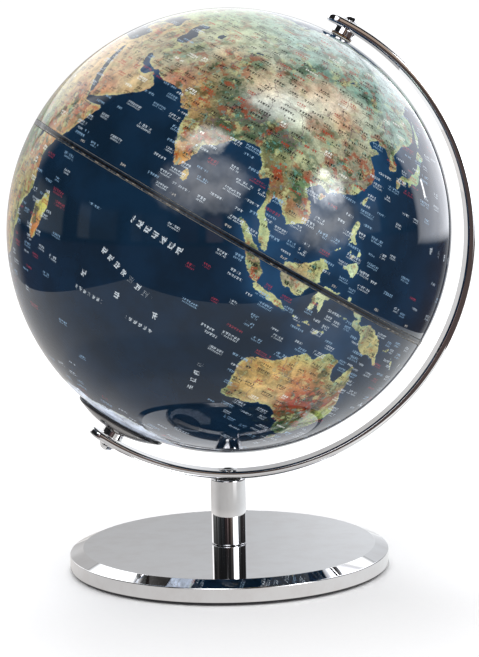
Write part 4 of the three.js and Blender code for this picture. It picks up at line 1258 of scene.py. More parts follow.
def ground_colours(units):
    """Blended ground colour (linear) and how broken up the ground is."""
    total = np.full(len(units), 1e-9)
    colour = np.zeros((len(units), 3))
    broken = np.zeros(len(units))
    for longitude, latitude, spread, tone, rough in GROUNDS:
        angle = degrees_from(units, longitude, latitude)
        weight = (EVEN_SPREAD / spread) ** SMALL_PATCH_POWER * bell(angle / (GROUND_FADE * spread))
        weight += FAINT_PULL / (1 + angle)
        total += weight
        colour += weight[:, None] * np.array(srgb(tone))
        broken += weight * rough
    return colour / total[:, None] * LAND_CAST, broken / total


def shelf_depth(units, coast):
    """1 in shallow water, falling to 0 over the deep."""
    near_coast = np.exp(np.minimum(coast, 0) / SHORE_WIDTH) * SHORE_STRENGTH
    banks = np.zeros(len(units))
    for longitude, latitude, spread, strength in SHELVES:
        angle = degrees_from(units, longitude, latitude)
        banks = np.maximum(banks, strength * bell(angle / spread))
    return np.clip(near_coast * (SHORE_ALONE + banks) + banks * BANK_STRENGTH, 0, 1)


# ---- The map: place-name marks ----

# The names on a real map are stood for by rows of small meaningless marks.
SEA_INKS = [("cfdce6", 0.5), ("94b8d6", 0.4), ("a23a4a", 0.1)]
LAND_INKS = [("1c1a1c", 0.7), ("a83a2c", 0.18), ("eef0e6", 0.12)]
LARGE_MARK_INK = "d3dde4"
DEGREE_MARK_INK = "c9c4bb"
STROKE_WEIGHT = 0.065
LAND_STROKE_EXTRA = 0.05

# Small marks are tried at this many places, between these sines of the latitude.
MARK_TRIES = 40000
SOUTH_LIMIT = -0.93
NORTH_LIMIT = 0.985
MARK_GAP_ALONG = 1.1
MARK_GAP_ACROSS = 0.6
MARK_FRAME = 0.1

# The equator is kept clear for the band and the degree marks beside it, all in degrees.
CLEAR_OF_EQUATOR = 2.4
DEGREE_MARK_LATITUDE = 2.2
DEGREE_MARK_STEP = 15
FIRST_DEGREE_MARK = 5

# The chance that a tried mark is kept: inland, on the shore, and at sea, where it fades with the
# distance from the coast. Distances are in millimetres.
SHORE_STRIP = 1.2
INLAND_CHANCE = 0.9
SHORE_CHANCE = 0.2
COASTAL_CHANCE = 0.95
COASTAL_REACH = 5.5
OPEN_SEA_CHANCE = 0.0012
DOUBLE_CHANCE = 0.72

# Sizes of the small marks in millimetres: the least, and what chance adds to it.
MARK_HEIGHT = 1.25
MARK_HEIGHT_SPAN = 0.5
MARK_HALF_LENGTH = 1.8
MARK_HALF_LENGTH_SPAN = 2.6
SEA_MARK_STRETCH = 1.2
MARK_ADVANCE = 0.98

# Numbers that keep the strokes of one mark from being those of another.
LARGE_MARK_SEED = 900
DEGREE_MARK_SEED = 500
SMALL_MARK_SEEDS = 811

# Larger marks over the open ocean: longitude, latitude, half length, mark height, advance, slope.
LARGE_MARKS = [
    (81.3, -8.1, 17.5, 4.3, 5.0, -4), (77.6, -19.9, 22.0, 3.9, 5.2, -17),
    (78.4, -26.1, 24.5, 4.2, 22.5, 0), (70.0, -29.9, 9.6, 2.5, 3.0, 0),
    (87.3, -29.9, 9.8, 2.5, 3.0, 0), (108.4, -35.5, 11.0, 3.6, 5.6, -78),
    (165, 22, 24, 4.2, 12.0, 0), (175, -8, 22, 4.2, 12.0, 0),
    (-140, 5, 24, 4.2, 12.0, 0), (-120, -28, 26, 4.0, 13.0, 0),
    (-38, 30, 20, 4.2, 10.0, 0), (-18, -22, 20, 4.2, 10.0, 0),
    (-155, 38, 22, 4.0, 6.0, 8), (-100, -48, 22, 3.8, 6.0, 0),
    (-30, 48, 14, 3.4, 5.5, 15), (10, -48, 16, 3.6, 5.5, 0),
]


def pick(choices, value):
    """The choice that value, from 0 to 1, falls on."""
    for name, share in choices:
        value -= share
        if value < 0:
            return name
    return choices[-1][0]


def make_mark(longitude, latitude, half_length, height, advance, slope, rows, ink, seed):
    """A row of marks with its own frame: u along it and v across it, in millimetres."""
    centre = to_units(longitude, latitude)
    eastward = np.array([-centre[1], centre[0], 0.0])
    eastward /= max(np.linalg.norm(eastward), 1e-6)
    northward = np.cross(centre, eastward)
    turn = math.radians(slope)
    along = eastward * math.cos(turn) + northward * math.sin(turn)
    half_height = height * rows / 2 + MARK_FRAME
    return {
        "centre": centre, "along": along, "across": np.cross(centre, along),
        "half_length": half_length, "half_height": half_height,
        "height": height, "advance": advance, "rows": rows, "ink": srgb(ink), "seed": seed,
    }


class Crowd:
    """The marks placed so far. Their rectangles are also kept as arrays, to test a new one fast."""

    def __init__(self):
        self.marks = []
        self.centres = np.zeros((0, 3))
        self.alongs = np.zeros((0, 3))
        self.halves = np.zeros((0, 2))

    def try_to_add(self, mark):
        """Adds the mark if its rectangle keeps its distance from all the others."""
        offset = (self.centres - mark["centre"]) * GLOBE_RADIUS
        u = np.abs(offset @ mark["along"])
        v = np.abs(offset @ mark["across"])
        slant = np.abs(self.alongs @ mark["across"])
        reach_u = mark["half_length"] + self.halves[:, 0] + MARK_GAP_ALONG
        leaning = self.halves[:, 0] * slant * 0.9
        reach_v = mark["half_height"] + self.halves[:, 1] + leaning + MARK_GAP_ACROSS
        facing = self.centres @ mark["centre"] > 0
        if np.any((u < reach_u) & (v < reach_v) & facing):
            return
        self.marks.append(mark)
        self.centres = np.vstack([self.centres, mark["centre"]])
        self.alongs = np.vstack([self.alongs, mark["along"]])
        self.halves = np.vstack([self.halves, (mark["half_length"], mark["half_height"])])


def chance_of_mark(coast):
    """How likely a mark is, by its distance from the coast in millimetres, positive on land."""
    if coast > SHORE_STRIP:
        return INLAND_CHANCE
    if coast > 0:
        return SHORE_CHANCE
    return COASTAL_CHANCE * math.exp(coast / COASTAL_REACH) + OPEN_SEA_CHANCE


def lay_out_marks(coast_at):
    """Large marks first, then degree marks along the equator, then small ones by chance,
    thick near coasts and thin over the deep. coast_at gives the distance to the coast."""
    draw = random.Random(7)
    crowd = Crowd()
    for index, (longitude, latitude, half, height, advance, slope) in enumerate(LARGE_MARKS):
        crowd.try_to_add(make_mark(longitude, latitude, half, height, advance, slope, 1,
                                   LARGE_MARK_INK, LARGE_MARK_SEED + index))
    for step in range(360 // DEGREE_MARK_STEP):
        longitude = step * DEGREE_MARK_STEP + FIRST_DEGREE_MARK
        crowd.try_to_add(make_mark(longitude, DEGREE_MARK_LATITUDE, 1.9, 1.5, 1.3, 0, 1,
                                   DEGREE_MARK_INK, DEGREE_MARK_SEED + step))
    longitudes = np.array([draw.uniform(-180, 180) for _ in range(MARK_TRIES)])
    sines = [draw.uniform(SOUTH_LIMIT, NORTH_LIMIT) for _ in range(MARK_TRIES)]
    latitudes = np.degrees(np.arcsin(sines))
    coasts = coast_at(longitudes, latitudes)
    for index, (longitude, latitude, coast) in enumerate(zip(longitudes, latitudes, coasts)):
        keep = draw.random()
        size = draw.random()
        ink = draw.random()
        rows = 2 if draw.random() < DOUBLE_CHANCE else 1
        if abs(latitude) < CLEAR_OF_EQUATOR or keep > chance_of_mark(coast):
            continue
        on_land = coast > 0
        height = MARK_HEIGHT + MARK_HEIGHT_SPAN * size
        half = MARK_HALF_LENGTH + MARK_HALF_LENGTH_SPAN * draw.random()
        half *= 1.0 if on_land else SEA_MARK_STRETCH
        tone = pick(LAND_INKS if on_land else SEA_INKS, ink)
        crowd.try_to_add(make_mark(longitude, latitude, half, height, height * MARK_ADVANCE, 0, rows,
                                   tone, index % SMALL_MARK_SEEDS))
    return crowd.marks


def nearest_marks(units, marks):
    """For each point, the index of the mark whose rectangle is nearest, or -1 where none is near."""
    surroundings = 4.0
    best = np.full(len(units), FAR_AWAY)
    chosen = np.full(len(units), -1)
    for index, mark in enumerate(marks):
        reach = (mark["half_length"] + surroundings) / GLOBE_RADIUS
        near = np.nonzero(units @ mark["centre"] > math.cos(reach))[0]
        u = units[near] @ mark["along"] * GLOBE_RADIUS
        v = units[near] @ mark["across"] * GLOBE_RADIUS
        apart = np.maximum(np.abs(u) - mark["half_length"], np.abs(v) - mark["half_height"])
        closer = apart < best[near]
        best[near[closer]] = apart[closer]
        chosen[near[closer]] = index
    return chosen


# ---- The printed halves of the ball ----


def hemisphere_points(side):
    """Profile of one half, the rows of it that carry the map, and their latitudes."""
    groove_half = BAND_HALF_WIDTH + TOUCH_GAP
    groove_radius = GLOBE_RADIUS - BAND_THICKNESS - TOUCH_GAP
    inner_radius = GLOBE_RADIUS - SHELL_WALL
    latitudes = np.linspace(math.asin(groove_half / GLOBE_RADIUS),
                            math.acos(POLE_HOLE_RADIUS / GLOBE_RADIUS), MAP_ROWS)
    outer = [(GLOBE_RADIUS * math.cos(a), GLOBE_RADIUS * math.sin(a)) for a in latitudes]
    inner = arc_points(inner_radius, 0, math.acos(POLE_HOLE_RADIUS / inner_radius),
                       math.asin(TOUCH_GAP / 2 / inner_radius), 20)
    profile = [(groove_radius, TOUCH_GAP / 2), (groove_radius, groove_half), *outer, *inner]
    if side > 0:
        return profile, len(profile) - len(outer) - len(inner), latitudes
    return [(radius, -height) for radius, height in profile][::-1], len(inner), -latitudes[::-1]


sides = {}
for side in (1, -1):
    profile, first_row, latitudes = hemisphere_points(side)
    turn = np.degrees(np.arange(MAP_COLUMNS) * 2 * math.pi / MAP_COLUMNS) + MAP_TURN
    longitude_grid, latitude_grid = np.meshgrid((turn + 180) % 360 - 180, np.degrees(latitudes))
    longitude_grid, latitude_grid = longitude_grid.ravel(), latitude_grid.ravel()
    units = to_units(longitude_grid, latitude_grid)
    coast = coast_distance(units, longitude_grid, latitude_grid)
    sides[side] = {
        "profile": profile, "first_row": first_row, "units": units, "coast": coast,
        "latitudes": np.degrees(latitudes),
    }


def coast_at(longitudes, latitudes):
    """Distance to the coast, read from the nearest point of the map grid."""
    result = np.zeros(len(longitudes))
    columns = np.round(((longitudes - MAP_TURN) % 360) / 360 * MAP_COLUMNS).astype(int) % MAP_COLUMNS
    for side, data in sides.items():
        here = (latitudes >= 0) if side > 0 else (latitudes < 0)
        rows = np.abs(latitudes[here, None] - data["latitudes"][None, :]).argmin(1)
        result[here] = data["coast"].reshape(MAP_ROWS, MAP_COLUMNS)[rows, columns[here]]
    return result


marks = lay_out_marks(coast_at)


def put_attribute(mesh, name, kind, domain, values, first, total):
    """Writes one row of values for each element from first on, and zeros for the rest."""
    width = values.shape[1] if values.ndim > 1 else 1
    full = np.zeros((total, width), np.float32)
    full[first:first + len(values)] = values.reshape(len(values), width)
    attribute = mesh.attributes.new(name, kind, domain)
    field = {"FLOAT": "value", "FLOAT_VECTOR": "vector", "FLOAT_COLOR": "color"}[kind]
    attribute.data.foreach_set(field, full.ravel())


def with_alpha(colours):
    """The same colours as solid ones."""
    return np.concatenate([colours, np.ones((len(colours), 1))], 1)


def mark_column(names, where_none):
    """The named values of all marks, with a last row for places that have no mark."""
    rows = [np.hstack([mark[name] for name in names]) for mark in marks]
    return np.array(rows + [where_none], float)


mark_along = mark_column(["along"], (0, 0, 0))
mark_across = mark_column(["across"], (0, 0, 0))
mark_form = mark_column(["half_length", "height", "advance"], (-1, 1, 1))
mark_seed_rows = mark_column(["seed", "rows"], (0, 1))
mark_ink = mark_column(["ink"], (0, 0, 0))


def printed_half(name, side):
    """One half of the shell, with the map as attributes. Terrain is held by the points. Marks are
    held by the corners of the faces, so that each face belongs to one mark."""
    data = sides[side]
    shell = revolve(name, data["profile"], MAP_COLUMNS, polar, PRINTED_SHARP_DEGREES)
    mesh = shell.data
    units = data["units"]
    first_point = data["first_row"] * MAP_COLUMNS
    total_points = len(mesh.vertices)
    colour, broken = ground_colours(units)
    terrain = np.stack([data["coast"], shelf_depth(units, data["coast"]), broken], -1)
    for attribute, kind, values in (
        ("terrain", "FLOAT_VECTOR", terrain),
        ("ground", "FLOAT_COLOR", with_alpha(colour)),
    ):
        put_attribute(mesh, attribute, kind, "POINT", values, first_point, total_points)

    rows, columns = np.meshgrid(np.arange(MAP_ROWS - 1), np.arange(MAP_COLUMNS), indexing="ij")
    beside = (columns + 1) % MAP_COLUMNS
    low, high = rows * MAP_COLUMNS, (rows + 1) * MAP_COLUMNS
    corners = np.stack([low + columns, low + beside, high + beside, high + columns], -1)
    corner_units = units[corners.reshape(-1, 4)]
    chosen = nearest_marks(corner_units.mean(1), marks)
    u = np.einsum("fck,fk->fc", corner_units, mark_along[chosen]) * GLOBE_RADIUS
    v = np.einsum("fck,fk->fc", corner_units, mark_across[chosen]) * GLOBE_RADIUS
    each = np.repeat(chosen, 4)
    place = np.stack([u.ravel(), v.ravel(), mark_seed_rows[each, 0]], -1)
    first_corner = first_point * 4
    total_corners = len(mesh.loops)
    for attribute, kind, values in (
        ("mark_place", "FLOAT_VECTOR", place),
        ("mark_form", "FLOAT_VECTOR", mark_form[each]),
        ("mark_rows", "FLOAT", mark_seed_rows[each, 1]),
        ("mark_ink", "FLOAT_COLOR", with_alpha(mark_ink[each])),
    ):
        put_attribute(mesh, attribute, kind, "CORNER", values, first_corner, total_corners)
    return shell


def strokes(paint, p, q, weight, seed_a, seed_b, seed_c):
    """Meaningless pen strokes in a unit cell, with p across it and q up it. Each stroke shifts by
    chance, and is left out by chance."""
    a, b, c = paint.dice(seed_a, seed_b, seed_c)
    d, e, f = paint.dice(seed_a + 31.7, seed_b, seed_c)
    g, h, i = paint.dice(seed_a, seed_b + 17.3, seed_c)

    def bar(across, centre, along, low, high, shown):
        return (across - centre).size().below(weight) * along.above(low) * along.below(high) * shown

    lines = [
        bar(q, 0.86 - 0.12 * a, p, 0.1, 0.55 + 0.4 * d, g.below(0.8)),
        bar(q, 0.46 + 0.16 * b, p, 0.05 + 0.4 * e, 0.92, h.below(0.75)),
        bar(q, 0.1 + 0.14 * c, p, 0.12, 0.45 + 0.5 * f, i.below(0.6)),
        bar(p, 0.18 + 0.25 * d, q, 0.05, 0.5 + 0.45 * b, g.above(0.3)),
        bar(p, 0.62 + 0.25 * a, q, 0.1 + 0.4 * c, 0.98, h.above(0.3)),
        bar(p + q * 0.7, 0.6 + 0.3 * e, q, 0.04, 0.6 + 0.3 * i, i.above(0.45)),
        bar(p - q * 0.6, 0.25 + 0.3 * f, q, 0.08, 0.55 + 0.3 * g, f.above(0.55)),
    ]
    result = lines[0]
    for line in lines[1:]:
        result = result.most(line)
    return result * f.below(0.92)


def mark_mask(paint, on_land):
    """1 on the strokes of the place-name marks. A double mark has a tall row over a low one."""
    u, v, seed = paint.attribute("mark_place", "Vector").parts()
    half_length, height, advance = paint.attribute("mark_form", "Vector").parts()
    double = paint.attribute("mark_rows").above(1.5)
    low_row = double * v.below(0.0)
    row_height = height * (1.0 - low_row * 0.34)
    row_advance = advance * (1.0 - low_row * 0.42)
    cell_width = (height * 0.9).least(row_advance * 0.92) * (1.0 - low_row * 0.1)
    row_bottom = (1.0 - double) * height * -0.5 + double * 0.12 - low_row * (row_height + 0.3)
    cell = (u + half_length) / row_advance
    p = cell.fraction() * row_advance / cell_width
    q = (v - row_bottom) / row_height
    weight = STROKE_WEIGHT + on_land * LAND_STROKE_EXTRA
    inked = strokes(paint, p, q, weight, cell.floor(), seed, low_row * 5.0 + 1.0)
    reach, _, _ = paint.dice(seed, low_row + 2.0, 3.0)
    in_row = q.above(0.0) * q.below(1.0) * u.size().below(half_length * (0.75 + 0.25 * reach))
    return inked * in_row * p.below(1.0)


def map_look(paint):
    """The printed and lacquered map."""
    place = paint.place()
    coast, shelf, broken = paint.attribute("terrain", "Vector").parts()
    ground = paint.attribute("ground", "Color")

    ragged = paint.noise(place, 3.4, 6.0, 0.68) - 0.5
    shore = coast + ragged * 4.2
    land = shore.above(0.0)

    # Sea: bluer over the shelves, with faint ridges and basins.
    basins = paint.noise(place, 26.0, 4.0, 0.55)
    ridges = paint.noise(place, 5.0, 4.0, 0.6)
    uneven = (basins - 0.5) * 0.5 * shelf.most(0.15) + (ridges - 0.5) * 0.12
    shallow = (shelf + uneven).ramp(0.02, 0.9)
    deep = paint.mix(basins.ramp(0.35, 0.65), DEEP_SEA, OPEN_SEA)
    sea = paint.mix(shallow, deep, SHELF_SEA)

    # Land: the ground colour, broken up by relief, woods, rock and highlights.
    relief = paint.noise(place, 8.0, 7.0, 0.64)
    patches = paint.noise(place, 7.0, 5.0, 0.62, "Color").parts()
    fine = paint.noise(place, 0.9, 4.0, 0.65)
    soil = paint.scale_colour(ground, relief.ramp(0.28, 0.72, 0.66, 1.36))
    rough = broken.power(2.0)
    red_rock = patches[0].ramp(0.53, 0.61) * rough * 0.75
    woods = patches[1].ramp(0.52, 0.6) * rough * 0.85
    pale = patches[2].ramp(0.55, 0.63) * rough * 0.6
    soil = paint.mix(red_rock, soil, srgb("96391f"))
    soil = paint.mix(woods, soil, srgb("2f4a30"))
    soil = paint.mix(pale, soil, srgb("c8cf94"))
    teal = paint.noise(place, 2.6, 4.0, 0.6).ramp(0.57, 0.64) * rough * 0.55
    soil = paint.mix(teal, soil, srgb("5fa398"))
    soil = paint.scale_colour(soil, fine.ramp(0.3, 0.7, 0.84, 1.16))
    soil = paint.mix(fine.ramp(0.6, 0.72) * rough * 0.35, soil, srgb("dfe3d8"))

    # Borders of countries and regions, as thin wandering lines.
    wander = paint.scale_colour(paint.noise(place, 7.0, 4.0, 0.6, "Color"), 9.0)
    bent = paint.node("ShaderNodeVectorMath", 0, {0: place, 1: wander}, operation="ADD")
    country = paint.cell_borders(bent, 26.0).below(0.008)
    province = paint.cell_borders(bent, 11.0).below(0.01) * 0.4
    soil = paint.mix(country.most(province) * 0.6, soil, srgb("6b5660"))

    # Pale green shore in places inside the coast, and a faint light line outside it.
    stretches = paint.noise(place, 9.0, 3.0, 0.6)
    fringe = shore.ramp(2.4, 0.1) * stretches.ramp(0.42, 0.58) * fine.ramp(0.34, 0.6)
    soil = paint.mix(fringe * 0.75, soil, srgb("c6cf94"))
    water = paint.mix(shore.ramp(-0.7, 0.0) * stretches.ramp(0.4, 0.6) * 0.25, sea, srgb("4f7fae"))
    printed = paint.mix(land, water, soil)

    ink = paint.attribute("mark_ink", "Color")
    printed = paint.mix(mark_mask(paint, coast.above(0.0)) * 0.92, printed, ink)
    printed = paint.scale_colour(printed, PRINT_DENSITY)

    dust = paint.noise(place, 0.9, 2.0).ramp(0.72, 0.8)
    swell = paint.noise(place, 60.0, 1.0)
    return {
        "Base Color": printed,
        "Roughness": ridges.ramp(0.3, 0.7, 0.32, 0.42),
        "Specular IOR Level": 0.0,
        "Coat Weight": 1.0,
        "Coat Roughness": 0.012,
        "Coat IOR": 1.47,
        "Bump": (swell + dust * 0.01, 0.03),
    }


def band_look(paint):
    """Tape over the joint: nearly black, with a worn cream scale along its edges."""
    place = paint.place()
    x, y, z = place.parts()
    turn = y.math("ARCTAN2", x) * DEGREES
    wear = paint.noise(place, 2.2, 4.0, 0.65)
    patch = paint.noise(place, 16.0, 2.0)
    step = (turn * 0.4).fraction().above(0.5)
    dark_row = (z - 0.1).size().ramp(0.62, 0.34)
    scale_row = (z + 0.95).size().below(0.2)
    kept = wear.ramp(0.42, 0.56) * patch.ramp(0.42, 0.56)
    ends = paint.mix(wear.ramp(0.35, 0.7), srgb("10202f"), srgb("1c2935"))
    tape = paint.mix(dark_row, ends, srgb("0b090a"))
    tape = paint.mix(scale_row * (0.25 + step * 0.75) * kept * 0.9, tape, srgb("a89a86"))
    return {
        "Base Color": tape,
        "Roughness": wear.ramp(0.3, 0.7, 0.2, 0.4),
        "Specular IOR Level": 0.2,
        "Coat Weight": 0.4,
        "Coat Roughness": 0.03,
        "Bump": (wear, 0.05),
    }


printed_map = material("printed_map", map_look)
seam_tape = material("seam_tape_scale", band_look)

for name, side, node_name in (("north_printed_half", 1, "north_hemisphere"),
                              ("south_printed_half", -1, "south_hemisphere")):
    half = printed_half(name, side)
    finish_piece(half, printed_map, "globe", "printed_shell", node_name)
    half.data.materials.append(bare_shell)
    total_rows = len(sides[side]["profile"])
    first_row = sides[side]["first_row"]
    indices = np.ones((total_rows, MAP_COLUMNS), np.int32)
    indices[first_row:first_row + MAP_ROWS - 1] = 0
    half.data.polygons.foreach_set("material_index", indices.ravel())

band = revolve("seam_band", rounded([
    (GLOBE_RADIUS - BAND_THICKNESS, -BAND_HALF_WIDTH, 0),
    (GLOBE_RADIUS, -BAND_HALF_WIDTH, 0.12),
    (GLOBE_RADIUS, BAND_HALF_WIDTH, 0.12),
    (GLOBE_RADIUS - BAND_THICKNESS, BAND_HALF_WIDTH, 0),
], 3), MAP_COLUMNS, polar)
finish_piece(band, seam_tape, "globe", "seam_tape", "equator_band")

# ---- Floor, backdrop and lights ----


def floor_look(paint):
    """Seamless white paper. Its glow is painted light that grows further off, so that it runs into the
    backdrop. Near the foot there is none, so the shade there stays deep.
    """
    place = paint.place()
    grain = paint.noise(place, 3.0, 4.0)
    x, y, _ = place.parts()
    return {
        "Base Color": paint.mix(grain, srgb("fafafa"), srgb("f7f7f8")),
        "Roughness": 0.6,
        "Specular IOR Level": 0.1,
        "Emission Color": (1.0, 1.0, 1.0),
        # Painted light: the paper glows more the further it is from the foot.
        "Emission Strength": distance_from_axis(x, y).ramp(130.0, 400.0, 0.0, 0.15),
    }


def rectangle(name, x_low, x_high, y_low, y_high, height=0):
    """A flat rectangle that faces up, in millimetres."""
    corners = [
        (x_low, y_low, height),
        (x_high, y_low, height),
        (x_high, y_high, height),
        (x_low, y_high, height),
    ]
    return build_mesh(name, corners, [(0, 1, 2, 3)], upright)


def glow_material(name, describe):
    """An emission material. describe(paint) returns its colour, strength and cover (0 to 1)."""
    made = bpy.data.materials.new(name)
    made.use_nodes = True
    tree = made.node_tree
    tree.nodes.clear()
    paint = Paint(tree)
    tint, strength, cover = describe(paint)
    emission = paint.node("ShaderNodeEmission", 0, {"Color": tint, "Strength": strength})
    clear = paint.node("ShaderNodeBsdfTransparent", 0, {"Color": (1.0, 1.0, 1.0)})
    mixed = paint.node("ShaderNodeMixShader", 0, {0: cover, 1: clear, 2: emission})
    output = tree.nodes.new("ShaderNodeOutputMaterial")
    tree.links.new(mixed.socket, output.inputs["Surface"])
    return made


def mirrored_table_look(paint):
    """A glowing sheet that only reflections see, a painted reflection of the pale table. It is greyer
    than the floor, with a painted bright streak to the right of the front where a window lights it, a
    ring of painted shade round the object, and painted shade close to the foot."""
    place = paint.place()
    x, y, _ = place.parts()
    turn = turn_from_front(x, y)
    distance = distance_from_axis(x, y)
    cloud = paint.noise(place, 120.0, 3.0)
    level = 0.6 + turn.ramp(-70.0, 90.0) * 0.2 + turn.size().ramp(60.0, 120.0) * 0.2
    streak = (turn - 38.0).size().ramp(17.0, 7.0) * distance.ramp(170.0, 260.0)
    painted_shade_ring = distance.ramp(135.0, 165.0) * distance.ramp(280.0, 240.0)
    level = level + (cloud - 0.5) * 0.1
    # Painted reflection: the streak is painted light, and the ring and the dark close to the foot are
    # painted shade.
    level = level + streak * 0.42 - painted_shade_ring * 0.14 - distance.ramp(94.5, 91.0) * 0.5
    tint = paint.mix(turn.ramp(0.0, 120.0), (1.0, 0.975, 0.955), (0.97, 0.99, 1.0))
    return tint, level, 1.0


def hide_from_all_but_gloss(piece):
    """Leaves a piece to be seen in reflections only."""
    piece.visible_camera = False
    piece.visible_diffuse = False
    piece.visible_shadow = False
    piece.visible_transmission = False


FLOOR_REACH = 9000
FLOOR_HEIGHT = -0.6
TABLE_HEIGHT = -0.02

floor = rectangle("paper_floor", -FLOOR_REACH, FLOOR_REACH, -FLOOR_REACH, FLOOR_REACH, FLOOR_HEIGHT)
floor.data.materials.append(material("white_paper", floor_look))
floor.visible_glossy = False

table = rectangle("mirrored_table", -560, 330, -395, 1500, TABLE_HEIGHT)
table.data.materials.append(glow_material("mirrored_table", mirrored_table_look))
hide_from_all_but_gloss(table)


def card(name, turn, rise, distance, width, height, level, tint, ragged):
    """A glowing card that only reflections see, aimed at the ball. Turn is the angle from the front
    towards the right and rise the angle above level, in degrees. A ragged card fades like a cloud,
    and the others have soft straight edges."""
    t, r = math.radians(turn), math.radians(rise)
    direction = Vector((math.sin(t) * math.cos(r), -math.cos(t) * math.cos(r), math.sin(r)))
    half_width, half_height = width / 2, height / 2
    piece = rectangle(name, -half_width, half_width, -half_height, half_height)
    facing = direction.to_track_quat("Z", "Y").to_matrix().to_4x4()
    piece.matrix_world = Matrix.Translation(globe_centre + direction * distance * MM) @ facing

    def describe(paint):
        place = paint.place()
        x, y, _ = place.parts()
        x, y = x / half_width, y / half_height
        cloud = paint.noise(place, 0.25 * width, 4.0, 0.6)
        if ragged > 0:
            reach = (x.power(2.0) + y.power(2.0)).power(0.5) + (cloud - 0.5) * ragged
            puffs = paint.noise(place, 0.16 * width, 3.0, 0.5)
            share = reach.ramp(1.0, 0.2) * puffs.ramp(0.3, 0.66, 0.6, 1.15)
        else:
            share = x.size().most(y.size()).ramp(1.0, 0.8) * (0.7 + 0.6 * cloud)
        return tint, share * level, share.ramp(0.0, 0.4)

    piece.data.materials.append(glow_material(name, describe))
    hide_from_all_but_gloss(piece)


# Name, turn, rise, distance, width, height, level, colour, and how ragged it is.
card("glow_left_high", -20, 49, 1300, 740, 480, 11.5, (1.0, 1.0, 0.97), 1.2)
card("glow_left_panel", -18, 28, 1500, 1700, 1150, 4.8, (0.97, 0.97, 1.0), 0.7)
card("glow_right", 46, 20, 1300, 600, 560, 15.0, (0.98, 0.99, 1.0), 0.5)
card("glow_right_haze", 41, 8, 1350, 1160, 960, 5.2, (0.97, 0.98, 1.0), 0.5)
card("glow_right_core", 46, 27, 1250, 210, 170, 20.0, (1.0, 0.99, 0.95), 0.9)
card("glow_right_strip", 37.0, 20, 1200, 20, 230, 12.0, (1.0, 1.0, 1.0), 0.0)
card("glow_window", 92.5, 10.7, 277, 8, 30, 12.0, (1.0, 1.0, 1.0), 0.0)
card("side_window", 111.7, 16.5, 310, 310, 270, 2.3, (0.97, 0.98, 1.03), 0.0)
card("back_high", 180, 46.5, 580, 1050, 690, 1.75, (0.98, 0.99, 1.0), 0.0)

# Upright strips of the room at the height of the object, which the foot and the stem show:
# angle from the front towards the right, half width in degrees, level, and colour.
ROOM_STRIPS = [
    (-158, 12, 0.40, (1.0, 1.0, 0.98)), (-134, 7, 0.24, (0.95, 1.0, 1.0)),
    (-113, 14, 0.40, (0.95, 1.0, 0.97)), (-84, 4, 0.38, (0.95, 1.0, 1.0)),
    (-72, 8, 0.12, (0.85, 0.96, 1.0)), (-53, 3, 0.15, (0.9, 0.95, 1.0)),
    (-43, 6, 0.08, (0.75, 0.88, 1.0)), (-26, 5, 0.09, (1.0, 0.6, 0.62)),
    (-13, 4, 0.50, (1.0, 0.72, 0.70)), (1, 6, 0.07, (1.0, 0.5, 0.35)),
    (11, 5, 0.42, (1.0, 0.76, 0.60)), (21, 5, 0.80, (1.0, 0.90, 0.82)),
    (40, 14, 1.70, (1.0, 0.99, 0.99)), (59, 5, 0.90, (0.92, 0.98, 1.0)),
    (70, 6, 0.48, (0.95, 0.98, 1.0)), (95, 14, 0.07, (1.0, 0.85, 0.85)),
    (112, 5, 0.18, (1.0, 0.92, 0.94)),
]
STRIP_EDGE = 1.5
UNDERSIDE_COLOUR = (0.085, 0.062, 0.058)
FILL_COLOUR = (1.0, 1.0, 1.01)
BACKDROP_COLOUR = (1.02, 1.02, 1.02)

world = bpy.data.worlds.new("studio")
bpy.context.scene.world = world
world.use_nodes = True
sky = Paint(world.node_tree)
direction = sky.node("ShaderNodeTexCoord", "Generated", {})
right_part, back_part, up_part = direction.parts()
room_turn = turn_from_front(right_part, back_part)
room_cloud = sky.noise(direction, 0.35, 3.0)

# The wall behind is bright, and brighter higher up. Low down it changes from left to right.
above = up_part.most(0.0)
wall = (back_part + above * 0.6).ramp(0.72, 0.92)
low_wall = (0.68 - right_part.ramp(-0.2, 0.0) * 0.22 + right_part.ramp(0.08, 0.18) * 0.46
            - right_part.ramp(0.2, 0.4) * 0.3)
middle_wall = 0.5 + right_part.ramp(-0.1, 0.25) * 0.2
left_glow = right_part.ramp(-0.28, -0.42) * above.ramp(0.08, 0.25) * 0.9
high_wall = above.ramp(0.45, 0.7) * 0.9
wall_level = low_wall + above.ramp(0.16, 0.3) * (middle_wall - low_wall) + left_glow + high_wall
room = 0.012 + 0.03 * room_cloud.ramp(0.45, 0.75)
strips = sky.scale_colour(sky.mix(room_cloud, (0.75, 0.85, 1.0), (1.0, 0.9, 0.85)), room)
for turn, half, strip_level, tint in ROOM_STRIPS:
    share = (room_turn - turn).size().ramp(half + STRIP_EDGE, half - STRIP_EDGE)
    share = share * up_part.ramp(-0.02, 0.01) * up_part.ramp(0.25, 0.18)
    strips = sky.mix(share, strips, tuple(part * strip_level for part in tint))
wall_tint = sky.mix(right_part.ramp(-0.1, 0.2), (1.0, 0.985, 0.98), (0.97, 0.99, 1.02))
strips = sky.mix(up_part.ramp(-0.02, -0.06), strips, UNDERSIDE_COLOUR)
mirrored = sky.mix(wall, strips, sky.scale_colour(wall_tint, wall_level))

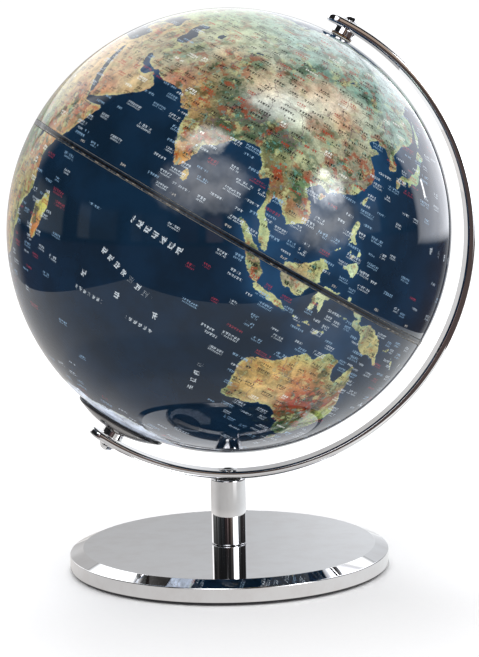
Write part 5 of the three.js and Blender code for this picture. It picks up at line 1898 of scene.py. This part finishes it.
# Reflections see the room, matt surfaces an even fill, and the camera a white backdrop.
is_glossy = sky.node("ShaderNodeLightPath", "Is Glossy Ray", {})
is_camera = sky.node("ShaderNodeLightPath", "Is Camera Ray", {})
seen = sky.mix(is_camera, sky.mix(is_glossy, FILL_COLOUR, mirrored), BACKDROP_COLOUR)
background = world.node_tree.nodes["Background"]
connect(world.node_tree, background.inputs["Color"], seen)
background.inputs["Strength"].default_value = 1.0


def softbox(name, place, size, power):
    """A large lamp for matt surfaces and shadows, placed and sized in metres. The cards stand for it
    in reflections."""
    lamp = bpy.data.lights.new(name, "AREA")
    lamp.shape = "RECTANGLE"
    lamp.size, lamp.size_y = size
    lamp.energy = power
    holder = bpy.data.objects.new(name, lamp)
    bpy.context.scene.collection.objects.link(holder)
    holder.location = place
    holder.rotation_euler = (Vector(place) - globe_centre).to_track_quat("Z", "Y").to_euler()
    holder.visible_glossy = False
    holder.visible_camera = False


softbox("key_left", (-0.9, -1.1, 1.4), (1.2, 0.9), 5)
softbox("key_right", (1.1, -0.9, 0.9), (0.9, 0.9), 3)
softbox("back_high", (0.0, 1.1, 1.3), (0.7, 0.6), 9)

# ---- Camera ----

# The camera stands a little to the left of the front, and is rolled by about a degree.
CAMERA_PLACE = (-0.11405, -1.15169, 0.29147)
CAMERA_AHEAD = Vector((0.10471, 0.98562, -0.13262))
CAMERA_RIGHT = Vector((0.99395, -0.10815, -0.01898))
SENSOR_WIDTH = 36.0
LENS_LENGTH = 112.6

camera_data = bpy.data.cameras.new("camera")
camera_data.sensor_width = SENSOR_WIDTH
camera_data.lens = LENS_LENGTH
camera_data.clip_start = 0.01
camera_data.clip_end = 100.0
camera = bpy.data.objects.new("camera", camera_data)
bpy.context.scene.collection.objects.link(camera)
ahead = CAMERA_AHEAD.normalized()
rightward = (CAMERA_RIGHT - ahead * CAMERA_RIGHT.dot(ahead)).normalized()
upward = rightward.cross(ahead)
camera.matrix_world = Matrix.Translation(CAMERA_PLACE) @ Matrix(
    (rightward, upward, -ahead)).transposed().to_4x4()
bpy.context.scene.camera = camera

bpy.context.scene.view_settings.view_transform = "Standard"

# ---- Scene update ----

bpy.context.view_layer.update()
